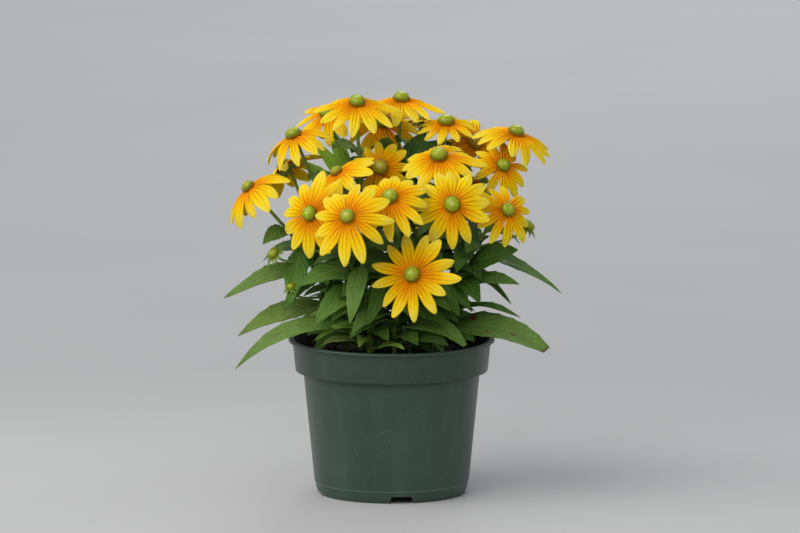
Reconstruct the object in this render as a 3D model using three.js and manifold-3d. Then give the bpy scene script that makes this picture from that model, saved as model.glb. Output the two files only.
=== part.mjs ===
// A flowering black-eyed susan in its plastic nursery pot.
// Millimetres, +Z up, origin at the centre of the pot's foot on the surface it stands on,
// and -Y is the side that the plant turns to the viewer.
import * as THREE from 'three';
import { mergeVertices } from 'three/addons/utils/BufferGeometryUtils.js';
import Module from 'manifold-3d';

const wasm = await Module();
wasm.setup();

// Pot
const POT_SIDES = 28;
const POT_HEIGHT = 143;
const LIP_RADIUS = 95;
const LIP_DEPTH = 2;
const LIP_EDGE = 0.8;
const WALL = 1.5;
const BAND_TOP_RADIUS = 91.4;
const BAND_BOTTOM_RADIUS = 88.6;
const BAND_BOTTOM = 114.2;
const BODY_TOP_RADIUS = 81.4;
const BODY_TOP = 113.4;
const BODY_BOTTOM_RADIUS = 71.2;
const BODY_BOTTOM = 10.8;
const FOOT_RADIUS = 67.4;
const FOOT_INSIDE = 62;
const FLOOR_LIFT = 2.6;
const NOTCH_COUNT = 4;
const NOTCH_HEIGHT = 6.5;
const NOTCH_TOP_WIDTH = 18;
const NOTCH_FOOT_WIDTH = 23;
const NOTCH_TURN = 7.6;
const NOTCH_START = 56;
const NOTCH_REACH = 20;

// Potting mix
const SOIL_TOP = 129;
const SOIL_CRUMB = 1.6;
const SOIL_GAP = 0.4;
const HOLE_DEPTH = 12;
const HOLE_RADIUS = 4;
const HOLE_SIDES = 8;
const CLEAR = 0.3;

// Stems
const STEM_RADIUS = 1.9;
const BRANCH_RADIUS = 1.7;
const SHOOT_RADIUS = 1.3;
const FORK_SPREAD = 0.8;
const STEM_SIDES = 6;
const STEM_STEPS = 6;

// Flower heads, measured from the receptacle along the head's own axis
const DISC_HALF = 0.5;
const DISC_RADIUS = 6.2;
const EYE_RISE = 4.5;
const RAY_LIFT = 12;
const RAY_THICKNESS = 0.8;
const RAY_HALF_WIDTH = 6.3;
const CONE_RADIUS = 7.4;
const CONE_HEIGHT = 8.6;
const CONE_SIDES = 8;
const CALYX_DEPTH = 6;
const CALYX_BRIM = 1.1;
const BRACT_REACH = 15;
const BRACT_FALL = 1;

// Along a ray: the share of its length, and the share of its full width there
const RAY_STATIONS = [[0.3, 0.84], [0.64, 1]];
const RAY_TIP_SHARE = 0.4;

// The rows of a cone: the share of its radius, and the share of its height
const CONE_ROWS = [[0.98, 0], [1.02, 0.3], [0.86, 0.62], [0.56, 0.88]];

// Leaves
const LEAF_THICKNESS = 1.2;
const LEAF_FOLD = 0.16;
const LEAF_STEP = 13;
const PETIOLE_HALF_WIDTH = 1.5;

// Each head: eye is the middle of its cone, aim is where it looks (degrees round from the viewer
// to the right, then degrees up), reach is the length of a ray and hang the lean of its tip.
const HEADS = [
  { eye: [-32, -8, 366], aim: [0, 67], reach: 34, rays: 12, hang: -42 },
  { eye: [9, 38, 363], aim: [22, 80], reach: 33, rays: 12, hang: -38 },
  { eye: [-91, -10, 336], aim: [-70, 66], reach: 35, rays: 12, hang: -67 },
  { eye: [-133, -30, 290], aim: [-80, 48], reach: 36, rays: 12, hang: -72 },
  { eye: [50, 21, 344], aim: [4, 73], reach: 24, rays: 11, hang: -42 },
  { eye: [115, 7, 336], aim: [60, 70], reach: 35, rays: 12, hang: -53 },
  { eye: [43, -49, 322], aim: [-8, 58], reach: 37, rays: 13, hang: -42 },
  { eye: [103, -19, 308], aim: [25, 32], reach: 25, rays: 11, hang: -50 },
  { eye: [-52, -48, 307], aim: [-75, 56], reach: 36, rays: 12, hang: -44 },
  { eye: [-11, -14, 305], aim: [-4, 24], reach: 24, rays: 11, hang: -44 },
  { eye: [-2, -102, 291], aim: [-15, 44], reach: 37, rays: 12, hang: -42 },
  { eye: [55, -88, 281], aim: [-2, 14], reach: 36, rays: 12, hang: -25 },
  { eye: [107, -57, 272], aim: [34, 30], reach: 29, rays: 11, hang: -42 },
  { eye: [-76, -97, 274], aim: [-30, 18], reach: 36, rays: 12, hang: -35 },
  { eye: [-41, -132, 277], aim: [-15, 30], reach: 36, rays: 12, hang: -35 },
  { eye: [18, -116, 221], aim: [-18, 28], reach: 37, rays: 13, hang: -22 },
  { eye: [78, 45, 321], aim: [20, 28], reach: 28, rays: 10, hang: -75 },
  { eye: [76, 92, 274], aim: [150, 40], reach: 30, rays: 10, hang: -60 },
  { eye: [-100, 42, 299], aim: [-130, 45], reach: 30, rays: 11, hang: -55 },
  { eye: [-60, 50, 348], aim: [-30, 60], reach: 32, rays: 11, hang: -45 },
  { eye: [-8, 60, 338], aim: [10, 45], reach: 34, rays: 11, hang: -60 },
  { eye: [28, 112, 333], aim: [150, 72], reach: 30, rays: 10, hang: -28 },
  { eye: [34, 128, 256], aim: [175, 35], reach: 33, rays: 12, hang: -35 },
  { eye: [-62, 98, 245], aim: [-160, 30], reach: 33, rays: 12, hang: -35 },
];

// Each leafy stem: where it leaves the soil, and its heads with the share of the main stem
// at which their branch leaves it. The first head ends the main stem.
const STEMS = [
  { root: [-12, 26], heads: [[1, 0], [20, 0.45]] },
  { root: [8, 14], heads: [[2, 0], [21, 0.5], [22, 0.4]] },
  { root: [-27, 3], heads: [[3, 0], [9, 0.45]] },
  { root: [-40, 10], heads: [[4, 0], [19, 0.5], [24, 0.3]] },
  { root: [16, 0], heads: [[5, 0], [17, 0.5]] },
  { root: [36, 16], heads: [[6, 0], [18, 0.4], [23, 0.25]] },
  { root: [16, -20], heads: [[7, 0], [12, 0.4], [10, 0.5]] },
  { root: [2, -36], heads: [[11, 0], [16, 0.25]] },
  { root: [-20, -34], heads: [[15, 0], [14, 0.4]] },
  { root: [40, -10], heads: [[13, 0], [8, 0.45]] },
];

// Leaves that stand out in the outline: the stem they grow on, the height of their foot on it,
// their tip, how far they arch, their width and how far the blade turns its top to the viewer.
const LEAVES = [
  { on: 4, at: 214, tip: [-154, -36, 186], rise: 5, width: 21, roll: 28 },
  { on: 4, at: 172, tip: [-141, -50, 153], rise: 10, width: 24, roll: 30 },
  { on: 9, at: 140, tip: [-143, -72, 126], rise: 30, width: 25, roll: 24 },
  { on: 4, at: 230, tip: [-93, -58, 182], rise: 4, width: 21, roll: 0 },
  { on: 4, at: 244, tip: [-118, -50, 238], rise: 6, width: 16, roll: 40 },
  { on: 9, at: 205, tip: [-84, -96, 206], rise: 12, width: 24, roll: 40 },
  { on: 9, at: 222, tip: [-38, -116, 174], rise: 6, width: 18, roll: 0 },
  { on: 8, at: 166, tip: [-36, -92, 162], rise: 14, width: 22, roll: 25 },
  { on: 8, at: 152, tip: [67, -88, 150], rise: 16, width: 25, roll: 25 },
  { on: 9, at: 168, tip: [-76, -78, 176], rise: 6, width: 13, roll: 30 },
  { on: 9, at: 136, tip: [-64, -60, 146], rise: 10, width: 11, roll: 30 },
  { on: 6, at: 214, tip: [156, -20, 188], rise: 14, width: 18, roll: 14 },
  { on: 10, at: 212, tip: [116, -44, 232], rise: 2, width: 27, roll: 50 },
  { on: 10, at: 190, tip: [117, -44, 200], rise: 8, width: 18, roll: 35 },
  { on: 10, at: 168, tip: [118, -36, 168], rise: 10, width: 17, roll: 25 },
  { on: 10, at: 152, tip: [142, -58, 146], rise: 20, width: 30, roll: 30 },
  { on: 8, at: 214, tip: [-22, -98, 170], rise: 6, width: 20, roll: 10 },
  { on: 7, at: 204, tip: [62, -80, 176], rise: 8, width: 22, roll: 20 },
];

// Side buds: the stem, the height of their foot on it, the middle of the bud, its aim and its size.
const BUDS = [
  { on: 4, from: 200, eye: [-111, -44, 231], aim: [-60, 40], size: 0.85 },
  { on: 4, from: 168, eye: [-94, -50, 202], aim: [-40, 60], size: 0.6 },
  { on: 10, from: 215, eye: [121, -24, 255], aim: [70, 50], size: 0.75 },
];

// The other leaves follow a rule: some levels on each stem, turning by the golden angle.
const LEAF_LEVELS = [148, 162, 178, 196, 216, 238];
const LEAF_LENGTHS = [84, 80, 74, 68, 60, 48];
const GOLDEN_ANGLE = 137.5;
const LEAF_FAN = 230;
const LEAF_ROOM = 4.5;
const LEAF_TURNS = [0, 25, -25, 50, -50, 80, -80];
const SHORT_LEAF = 0.7;

const UP = new THREE.Vector3(0, 0, 1);

// The same number for the same place each time, between 0 and 1.
function draw(n) {
  const v = Math.sin(n * 12.9898) * 43758.5453;
  return v - Math.floor(v);
}

function lean(n) {
  return draw(n) * 2 - 1;
}

function point([x, y, z]) {
  return new THREE.Vector3(x, y, z);
}

function radians(degrees) {
  return (degrees * Math.PI) / 180;
}

function turned(count, j) {
  return (j * 2 * Math.PI) / count;
}

function closedGeometry(points, faces) {
  const geometry = new THREE.BufferGeometry();
  const flat = points.flatMap((p) => [p.x, p.y, p.z]);
  geometry.setAttribute('position', new THREE.Float32BufferAttribute(flat, 3));
  let volume = 0;
  for (const [a, b, c] of faces) {
    volume += points[a].dot(points[b].clone().cross(points[c]));
  }
  geometry.setIndex(faces.flatMap(([a, b, c]) => (volume > 0 ? [a, b, c] : [a, c, b])));
  return geometry;
}

function toSolid(geometry) {
  geometry.deleteAttribute('normal');
  geometry.deleteAttribute('uv');
  const merged = mergeVertices(geometry, 1e-4);
  const mesh = new wasm.Mesh({
    numProp: 3,
    vertProperties: new Float32Array(merged.attributes.position.array),
    triVerts: new Uint32Array(merged.index.array),
  });
  return new wasm.Manifold(mesh);
}

function fromSolid(solid) {
  const mesh = solid.getMesh();
  const geometry = new THREE.BufferGeometry();
  geometry.setAttribute('position', new THREE.BufferAttribute(new Float32Array(mesh.vertProperties), 3));
  geometry.setIndex(new THREE.BufferAttribute(new Uint32Array(mesh.triVerts), 1));
  return geometry;
}

// The skin between two rings of points, given by their first numbers.
function skin(a, b, count) {
  const faces = [];
  for (let j = 0; j < count; j += 1) {
    const k = (j + 1) % count;
    faces.push([a + j, a + k, b + k], [a + j, b + k, b + j]);
  }
  return faces;
}

function fan(first, count, apex) {
  const faces = [];
  for (let j = 0; j < count; j += 1) faces.push([first + j, first + ((j + 1) % count), apex]);
  return faces;
}

function flatEnd(first, count, out) {
  const faces = [];
  for (let j = 1; j + 1 < count; j += 1) {
    faces.push(out ? [first, first + j, first + j + 1] : [first, first + j + 1, first + j]);
  }
  return faces;
}

function lathe(profile) {
  const points = profile.map(([r, z]) => new THREE.Vector2(r, z));
  return new THREE.LatheGeometry(points, POT_SIDES).rotateX(Math.PI / 2);
}

// The pot: its outside from the foot to the lip, and back down the inside.
function potGeometry() {
  const profile = [
    [0, FLOOR_LIFT],
    [FOOT_INSIDE - WALL, FLOOR_LIFT],
    [FOOT_INSIDE, 0],
    [FOOT_RADIUS, 0],
    [BODY_BOTTOM_RADIUS - 1.4, BODY_BOTTOM / 2],
    [BODY_BOTTOM_RADIUS - 0.8, BODY_BOTTOM - 0.6],
    [BODY_BOTTOM_RADIUS, BODY_BOTTOM],
    [BODY_TOP_RADIUS, BODY_TOP],
    [BAND_BOTTOM_RADIUS, BAND_BOTTOM],
    [BAND_TOP_RADIUS, POT_HEIGHT - LIP_DEPTH],
    [LIP_RADIUS, POT_HEIGHT - LIP_DEPTH],
    [LIP_RADIUS, POT_HEIGHT - LIP_EDGE],
    [LIP_RADIUS - LIP_EDGE, POT_HEIGHT],
    [BAND_TOP_RADIUS - WALL, POT_HEIGHT],
    [BAND_BOTTOM_RADIUS - WALL, BAND_BOTTOM + 1],
    [BODY_TOP_RADIUS - WALL, BODY_TOP + WALL],
    [BODY_BOTTOM_RADIUS - WALL, BODY_BOTTOM],
    [FOOT_RADIUS - WALL, FLOOR_LIFT + WALL],
    [0, FLOOR_LIFT + WALL],
  ];
  let pot = toSolid(lathe(profile));
  const outline = new THREE.Shape([
    new THREE.Vector2(-NOTCH_FOOT_WIDTH / 2, -0.5),
    new THREE.Vector2(NOTCH_FOOT_WIDTH / 2, -0.5),
    new THREE.Vector2(NOTCH_TOP_WIDTH / 2, NOTCH_HEIGHT),
    new THREE.Vector2(-NOTCH_TOP_WIDTH / 2, NOTCH_HEIGHT),
  ]);
  for (let i = 0; i < NOTCH_COUNT; i += 1) {
    const cutter = new THREE.ExtrudeGeometry(outline, { depth: NOTCH_REACH, bevelEnabled: false });
    cutter.rotateX(Math.PI / 2);
    cutter.translate(0, -NOTCH_START, 0);
    cutter.rotateZ(radians(NOTCH_TURN) + turned(NOTCH_COUNT, i));
    pot = pot.subtract(toSolid(cutter));
  }
  return fromSolid(pot);
}

// The soil plug keeps a small gap to the pot, has a lumpy top, and a hole for each stem.
function soilGeometry() {
  const gap = WALL + SOIL_GAP;
  const bandShare = (SOIL_TOP - BAND_BOTTOM) / (POT_HEIGHT - BAND_BOTTOM);
  const edge = BAND_BOTTOM_RADIUS + (BAND_TOP_RADIUS - BAND_BOTTOM_RADIUS) * bandShare - gap - SOIL_GAP;
  const profile = [
    [0, FLOOR_LIFT + gap],
    [FOOT_RADIUS - gap - SOIL_GAP, FLOOR_LIFT + gap],
    [BODY_BOTTOM_RADIUS - gap, BODY_BOTTOM + SOIL_GAP],
    [BODY_TOP_RADIUS - gap, BODY_TOP + gap],
    [BAND_BOTTOM_RADIUS - gap - SOIL_GAP, BAND_BOTTOM + gap],
    [edge, SOIL_TOP - 1],
    [edge * 0.74, SOIL_TOP],
    [edge * 0.4, SOIL_TOP + 1],
    [0, SOIL_TOP + 2],
  ];
  const plug = lathe(profile);
  plug.deleteAttribute('normal');
  plug.deleteAttribute('uv');
  const merged = mergeVertices(plug, 1e-4);
  const places = merged.attributes.position;
  for (let i = 0; i < places.count; i += 1) {
    const inner = Math.hypot(places.getX(i), places.getY(i)) < edge * 0.9;
    if (inner && places.getZ(i) > BAND_BOTTOM) {
      places.setZ(i, places.getZ(i) + SOIL_CRUMB * lean(i));
    }
  }
  let soil = toSolid(merged);
  for (const { root } of STEMS) {
    const hole = new THREE.CylinderGeometry(HOLE_RADIUS, HOLE_RADIUS, 2 * HOLE_DEPTH, HOLE_SIDES);
    hole.rotateX(Math.PI / 2);
    hole.translate(root[0], root[1], SOIL_TOP);
    soil = soil.subtract(toSolid(hole));
  }
  return fromSolid(soil);
}

// A head's own axes: out along its aim, and two directions across the head.
function headFrame({ eye, aim }) {
  const turn = radians(aim[0]);
  const rise = radians(aim[1]);
  const out = point([Math.cos(rise) * Math.sin(turn), -Math.cos(rise) * Math.cos(turn), Math.sin(rise)]);
  const across = UP.clone().cross(out).normalize();
  const along = out.clone().cross(across);
  const seat = point(eye).addScaledVector(out, -EYE_RISE);
  return { out, across, along, seat };
}

function onHead(frame, angle, radius, height) {
  const place = frame.seat.clone().addScaledVector(frame.out, height);
  place.addScaledVector(frame.across, radius * Math.cos(angle));
  return place.addScaledVector(frame.along, radius * Math.sin(angle));
}

// A ray leaves the disc a little upwards and curls down along an arc.
function rayArc(reach, hang, s) {
  const start = radians(RAY_LIFT);
  const bend = start - radians(hang);
  const angle = start - bend * s;
  const radius = DISC_RADIUS + (reach * (Math.sin(start) - Math.sin(angle))) / bend;
  const height = (reach * (Math.cos(angle) - Math.cos(start))) / bend;
  return { radius, height, angle };
}

function rayOf(index, k) {
  const head = HEADS[index - 1];
  const seed = index * 50 + k;
  return {
    turn: turned(head.rays, k + 0.12 * lean(seed)),
    reach: head.reach * (1 + 0.06 * lean(seed + 0.3)),
    hang: head.hang + 5 * lean(seed + 0.6),
  };
}

// A ray's section is flat above and has a keel below, no wider than the room between its neighbours.
function raySection(frame, head, ray, s, share) {
  const arc = rayArc(ray.reach, ray.hang, s);
  const room = (0.9 * Math.PI * arc.radius) / head.rays;
  const half = Math.min(RAY_HALF_WIDTH * share, room);
  const middle = onHead(frame, ray.turn, arc.radius, arc.height);
  const side = frame.along.clone().multiplyScalar(Math.cos(ray.turn));
  side.addScaledVector(frame.across, -Math.sin(ray.turn));
  const radial = onHead(frame, ray.turn, 1, 0).sub(frame.seat);
  const face = frame.out.clone().multiplyScalar(Math.cos(arc.angle));
  face.addScaledVector(radial, -Math.sin(arc.angle));
  const left = middle.clone().addScaledVector(side, -half);
  const right = middle.clone().addScaledVector(side, half);
  return [left, right, middle.addScaledVector(face, -RAY_THICKNESS)];
}

// All rays of a head grow out of the edge of one thin disc, and each ends in a blunt tip.
function raysGeometry(index) {
  const head = HEADS[index - 1];
  const frame = headFrame(head);
  const points = [onHead(frame, 0, 0, DISC_HALF), onHead(frame, 0, 0, -DISC_HALF)];
  for (let k = 0; k < head.rays; k += 1) {
    const angle = turned(head.rays, k - 0.5);
    points.push(onHead(frame, angle, DISC_RADIUS, DISC_HALF));
    points.push(onHead(frame, angle, DISC_RADIUS, -DISC_HALF));
  }
  const faces = [];
  for (let k = 0; k < head.rays; k += 1) {
    const ray = rayOf(index, k);
    const a = 2 + 2 * k;
    const b = 2 + 2 * ((k + 1) % head.rays);
    faces.push([0, a, b], [1, b + 1, a + 1]);
    const n = points.length;
    for (const [s, share] of RAY_STATIONS) points.push(...raySection(frame, head, ray, s, share));
    faces.push([a, n, n + 1], [a, n + 1, b], [b, n + 1, b + 1], [n + 1, n + 2, b + 1]);
    faces.push([a + 1, b + 1, n + 2], [a + 1, n + 2, a], [n + 2, n, a]);
    for (let m = n; m < points.length - 3; m += 3) {
      faces.push([m, m + 3, m + 4], [m, m + 4, m + 1], [m + 1, m + 4, m + 2]);
      faces.push([m + 4, m + 5, m + 2], [m + 2, m + 5, m], [m + 5, m + 3, m]);
    }
    const [tipLeft, tipRight] = raySection(frame, head, ray, 1, RAY_TIP_SHARE);
    const m = points.length - 3;
    points.push(tipLeft, tipRight);
    faces.push([m, m + 3, m + 4], [m, m + 4, m + 1], [m + 1, m + 4, m + 2]);
    faces.push([m + 2, m + 4, m + 3], [m + 2, m + 3, m]);
  }
  return closedGeometry(points, faces);
}

// The cone of disc florets: a dome whose knobs stand in and out by turns.
function coneGeometry(index) {
  const frame = headFrame(HEADS[index - 1]);
  const foot = DISC_HALF + CLEAR;
  const points = [];
  const faces = [];
  CONE_ROWS.forEach(([wide, high], row) => {
    const first = points.length;
    for (let j = 0; j < CONE_SIDES; j += 1) {
      const knob = 1 + 0.07 * ((j + row) % 2) + 0.03 * lean(index * 9 + row * 3 + j);
      const angle = turned(CONE_SIDES, j + (row % 2) / 2);
      points.push(onHead(frame, angle, CONE_RADIUS * wide * knob, foot + CONE_HEIGHT * high));
    }
    if (row === 0) return;
    for (let j = 0; j < CONE_SIDES; j += 1) {
      const k = (j + 1) % CONE_SIDES;
      const below = first - CONE_SIDES;
      if (row % 2) faces.push([below + j, below + k, first + j], [below + k, first + k, first + j]);
      else faces.push([below + j, first + k, first + j], [below + j, below + k, first + k]);
    }
  });
  faces.push(...flatEnd(0, CONE_SIDES, false));
  faces.push(...fan(points.length - CONE_SIDES, CONE_SIDES, points.length));
  points.push(onHead(frame, 0, 0, foot + CONE_HEIGHT * 0.94));
  return closedGeometry(points, faces);
}

// A smooth path between two places: it leaves the first along `toward` and comes in along `out`.
function bowedPath(from, toward, to, out) {
  const length = to.distanceTo(from);
  const low = from.clone().addScaledVector(toward, 0.35 * length);
  const high = to.clone().addScaledVector(out, -0.3 * length);
  return [from, low, high, to];
}

// The last two corners that are left when a path's corners close in on the share s of it.
function closingIn(path, s) {
  let corners = path;
  while (corners.length > 2) {
    const before = corners;
    corners = before.slice(1).map((corner, i) => before[i].clone().lerp(corner, s));
  }
  return corners;
}

function onPath(path, s) {
  const [a, b] = closingIn(path, s);
  return a.clone().lerp(b, s);
}

function pathHeading(path, s) {
  const [a, b] = closingIn(path, s);
  return b.clone().sub(a).normalize();
}

// The place on a rising path that has a given height.
function atHeight(path, height) {
  let low = 0;
  let high = 1;
  for (let i = 0; i < 40; i += 1) {
    const middle = (low + high) / 2;
    if (onPath(path, middle).z < height) low = middle;
    else high = middle;
  }
  return onPath(path, low);
}

function calyxFoot(frame, size) {
  return frame.seat.clone().addScaledVector(frame.out, -CALYX_DEPTH * size);
}

// The paths of a leafy stem: the main stem first, and then its branches.
function stemPaths({ root, heads }) {
  const start = point([root[0], root[1], SOIL_TOP - HOLE_DEPTH + CLEAR]);
  const paths = [];
  for (const [index, share] of heads) {
    const frame = headFrame(HEADS[index - 1]);
    const end = calyxFoot(frame, 1);
    if (share === 0) {
      paths.push(bowedPath(start, UP, end, frame.out));
      continue;
    }
    const fork = onPath(paths[0], share);
    const straight = end.clone().sub(fork).normalize();
    const toward = pathHeading(paths[0], share).lerp(straight, FORK_SPREAD).normalize();
    paths.push(bowedPath(fork, toward, end, frame.out));
  }
  return paths;
}

// A stem along a path, which widens into the green cup with a pointed bract on each side,
// and which a bud closes with a dome.
function stalkGeometry(path, radius, size, bud) {
  const points = [];
  const faces = [];
  let side = pathHeading(path, 0).cross(new THREE.Vector3(1, 0, 0));
  const addRing = (centre, along, wide) => {
    side.addScaledVector(along, -side.dot(along)).normalize();
    const other = along.clone().cross(side);
    for (let j = 0; j < STEM_SIDES; j += 1) {
      const place = centre.clone().addScaledVector(side, wide * Math.cos(turned(STEM_SIDES, j)));
      points.push(place.addScaledVector(other, wide * Math.sin(turned(STEM_SIDES, j))));
    }
    return points.length - STEM_SIDES;
  };
  for (let i = 0; i <= STEM_STEPS; i += 1) {
    const s = i / STEM_STEPS;
    const ring = addRing(onPath(path, s), pathHeading(path, s), radius);
    if (i > 0) faces.push(...skin(ring - STEM_SIDES, ring, STEM_SIDES));
  }
  const out = pathHeading(path, 1);
  const foot = path[path.length - 1];
  const above = (height) => foot.clone().addScaledVector(out, (CALYX_DEPTH + height) * size);
  const low = addRing(above(-DISC_HALF - CLEAR - CALYX_BRIM), out, DISC_RADIUS * size);
  const high = addRing(above(-DISC_HALF - CLEAR), out, DISC_RADIUS * size);
  faces.push(...skin(low - STEM_SIDES, low, STEM_SIDES));
  const across = side.clone();
  const along = out.clone().cross(side);
  const bract = BRACT_REACH * size;
  for (let j = 0; j < STEM_SIDES; j += 1) {
    const k = (j + 1) % STEM_SIDES;
    const angle = turned(STEM_SIDES, j + 0.5);
    const tip = above(-CALYX_DEPTH - BRACT_FALL).addScaledVector(across, bract * Math.cos(angle));
    points.push(tip.addScaledVector(along, bract * Math.sin(angle)));
    const last = points.length - 1;
    faces.push([low + j, low + k, last], [low + k, high + k, last]);
    faces.push([high + k, high + j, last], [high + j, low + j, last]);
  }
  if (bud) {
    const belly = addRing(above(2.4), out, DISC_RADIUS * size * 1.05);
    const crown = addRing(above(5.6), out, DISC_RADIUS * size * 0.7);
    faces.push(...skin(high, belly, STEM_SIDES), ...skin(belly, crown, STEM_SIDES));
    faces.push(...fan(crown, STEM_SIDES, points.length));
    points.push(above(7.4));
  } else {
    faces.push(...flatEnd(high, STEM_SIDES, true));
  }
  faces.push(...flatEnd(0, STEM_SIDES, false));
  return closedGeometry(points, faces);
}

// A leaf's rib arches from its base to its tip, and its blade lies across the arch.
function leafShape({ base, tip, rise, width, roll }) {
  const bend = base.clone().lerp(tip, 0.45).addScaledVector(UP, 2 * rise);
  const over = tip.clone().sub(base).setZ(0).normalize();
  const toViewer = over.x < 0 ? -1 : 1;
  return {
    rib: [base, bend, tip],
    level: over.cross(UP),
    width,
    roll: radians(roll) * toViewer,
    length: base.distanceTo(bend) * 0.6 + bend.distanceTo(tip) * 0.6,
  };
}

function leafShare(s) {
  return Math.sin(Math.PI * s ** 0.85) ** 0.85;
}

function onLeaf(leaf, s, u, v) {
  const along = pathHeading(leaf.rib, s);
  const side = leaf.level.clone().addScaledVector(along, -leaf.level.dot(along)).normalize();
  const angle = leaf.roll * Math.min(1, s / 0.35);
  const rolled = side.clone().multiplyScalar(Math.cos(angle));
  rolled.addScaledVector(along.clone().cross(side), Math.sin(angle));
  const face = rolled.clone().cross(along);
  const half = leaf.width / 2;
  const place = onPath(leaf.rib, s).addScaledVector(rolled, u * half);
  return place.addScaledVector(face, Math.abs(u) * half * LEAF_FOLD + v);
}

// The blade is folded a little along its rib, and its edge is cut into coarse teeth.
function leafGeometry(leaf) {
  const steps = Math.min(8, Math.max(4, Math.round(leaf.length / LEAF_STEP)));
  const thick = LEAF_THICKNESS / 2;
  const points = [];
  const faces = [];
  for (let i = 0; i < steps; i += 1) {
    const s = i / steps;
    const tooth = i % 2 ? 1.08 : 0.9;
    const share = Math.max(leafShare(s) * tooth, (2 * PETIOLE_HALF_WIDTH) / leaf.width);
    const a = points.length;
    points.push(onLeaf(leaf, s, -share, 0), onLeaf(leaf, s, 0, thick));
    points.push(onLeaf(leaf, s, share, 0), onLeaf(leaf, s, 0, -thick));
    if (i === 0) continue;
    const b = a - 4;
    faces.push([b, b + 1, a + 1], [b, a + 1, a], [b + 1, b + 2, a + 1], [b + 2, a + 2, a + 1]);
    faces.push([b + 2, b + 3, a + 3], [b + 2, a + 3, a + 2], [b + 3, b, a + 3], [b, a, a + 3]);
  }
  faces.push(...flatEnd(0, 4, false), ...fan(points.length - 4, 4, points.length));
  points.push(onLeaf(leaf, 1, 0, 0));
  return closedGeometry(points, faces);
}

// Points spread over a leaf, to test how near it comes to others.
function leafPoints(leaf) {
  const places = [];
  for (let s = 0.1; s <= 1; s += 0.06) {
    for (const u of [-1, -0.5, 0, 0.5, 1]) places.push(onLeaf(leaf, s, u * leafShare(s), 0));
  }
  return places;
}

function rayPoints(index) {
  const head = HEADS[index - 1];
  const frame = headFrame(head);
  const places = [onHead(frame, 0, 0, CONE_HEIGHT / 2), onHead(frame, 0, 0, -CALYX_DEPTH)];
  for (let k = 0; k < head.rays; k += 1) {
    for (const s of [0.3, 0.55, 0.8, 1]) {
      places.push(...raySection(frame, head, rayOf(index, k), s, s === 1 ? RAY_TIP_SHARE : 0.95));
    }
  }
  return places;
}

function stemPoints(paths) {
  const places = [];
  for (const path of paths) {
    for (let i = 0; i <= 40; i += 1) places.push(onPath(path, i / 40));
  }
  return places;
}

function nearest(places, others) {
  let best = Infinity;
  for (const a of places) {
    for (const b of others) best = Math.min(best, a.distanceToSquared(b));
  }
  return Math.sqrt(best);
}

function meetsPot(places) {
  return places.some((p) => {
    const out = Math.hypot(p.x, p.y);
    return p.z < SOIL_TOP + 6 || (p.z < POT_HEIGHT + 4 && out > BAND_BOTTOM_RADIUS - 8);
  });
}

// A leaf of the rule: it points away from the middle of the plant, give or take its turn.
function ruleLeaf(path, i, j, step, scale) {
  const seed = 1000 + 10 * i + j;
  const base = atHeight(path, LEAF_LEVELS[j] + 9 * lean(seed));
  const outward = Math.atan2(base.y, base.x);
  const spread = ((j * GOLDEN_ANGLE + 70 * i) % LEAF_FAN) - LEAF_FAN / 2;
  const angle = outward + radians(spread + step);
  const length = LEAF_LENGTHS[j] * scale * (1 + 0.15 * lean(seed + 0.3));
  const run = length * 0.9;
  const fall = length * (0.02 + 0.34 * draw(seed + 0.6));
  const tip = base.clone().add(point([run * Math.cos(angle), run * Math.sin(angle), -fall]));
  const roll = (base.y < 10 ? 32 : -32) + 18 * lean(seed + 0.8);
  return leafShape({ base, tip, rise: length * 0.2, width: length * 0.26 + 4, roll });
}

// Every leaf of the plant. A leaf of the rule that would come too near to what is already there
// turns aside or stays shorter, and one that finds no room is left out.
function allLeaves(stems) {
  const taken = HEADS.map((head, i) => ({ places: rayPoints(i + 1) }));
  stems.forEach((paths, i) => taken.push({ stem: i + 1, places: stemPoints(paths) }));
  const leaves = LEAVES.map((row) => {
    const base = atHeight(stems[row.on - 1][0], row.at);
    return { on: row.on, ...leafShape({ ...row, base, tip: point(row.tip) }) };
  });
  for (const leaf of leaves) taken.push({ places: leafPoints(leaf) });
  const tries = [1, SHORT_LEAF].flatMap((scale) => LEAF_TURNS.map((step) => [step, scale]));
  LEAF_LEVELS.forEach((level, j) => {
    stems.forEach((paths, i) => {
      for (const [step, scale] of tries) {
        const leaf = { on: i + 1, ...ruleLeaf(paths[0], i, j, step, scale) };
        const places = leafPoints(leaf);
        const clear = (t) => t.stem === i + 1 || nearest(places, t.places) > LEAF_ROOM;
        if (!meetsPot(places) && taken.every(clear)) {
          leaves.push(leaf);
          taken.push({ places });
          break;
        }
      }
    });
  });
  return leaves;
}

function budGeometry(bud, main) {
  const frame = headFrame(bud);
  const path = bowedPath(atHeight(main, bud.from), UP, calyxFoot(frame, bud.size), frame.out);
  return stalkGeometry(path, SHOOT_RADIUS, bud.size, true);
}

function leafyStemGeometry(index, paths, leaves) {
  const pieces = paths.map((path, i) => stalkGeometry(path, i ? BRANCH_RADIUS : STEM_RADIUS, 1, false));
  for (const bud of BUDS.filter((b) => b.on === index)) pieces.push(budGeometry(bud, paths[0]));
  for (const leaf of leaves.filter((l) => l.on === index)) pieces.push(leafGeometry(leaf));
  return fromSolid(pieces.map(toSolid).reduce((whole, piece) => whole.add(piece)));
}

function named(kind, index) {
  return `${kind}_${String(index).padStart(2, '0')}`;
}

function addMesh(group, name, geometry, material) {
  const mesh = new THREE.Mesh(geometry, material);
  mesh.name = name;
  group.add(mesh);
}

function finish(color, roughness) {
  return new THREE.MeshStandardMaterial({ color, roughness, metalness: 0 });
}

const plastic = finish(0x3e4e46, 0.45);
const pottingMix = finish(0x2a211b, 0.95);
const petal = finish(0xf2b705, 0.6);
const floret = finish(0x8aa32c, 0.8);
const foliage = finish(0x4c7a35, 0.75);

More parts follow.
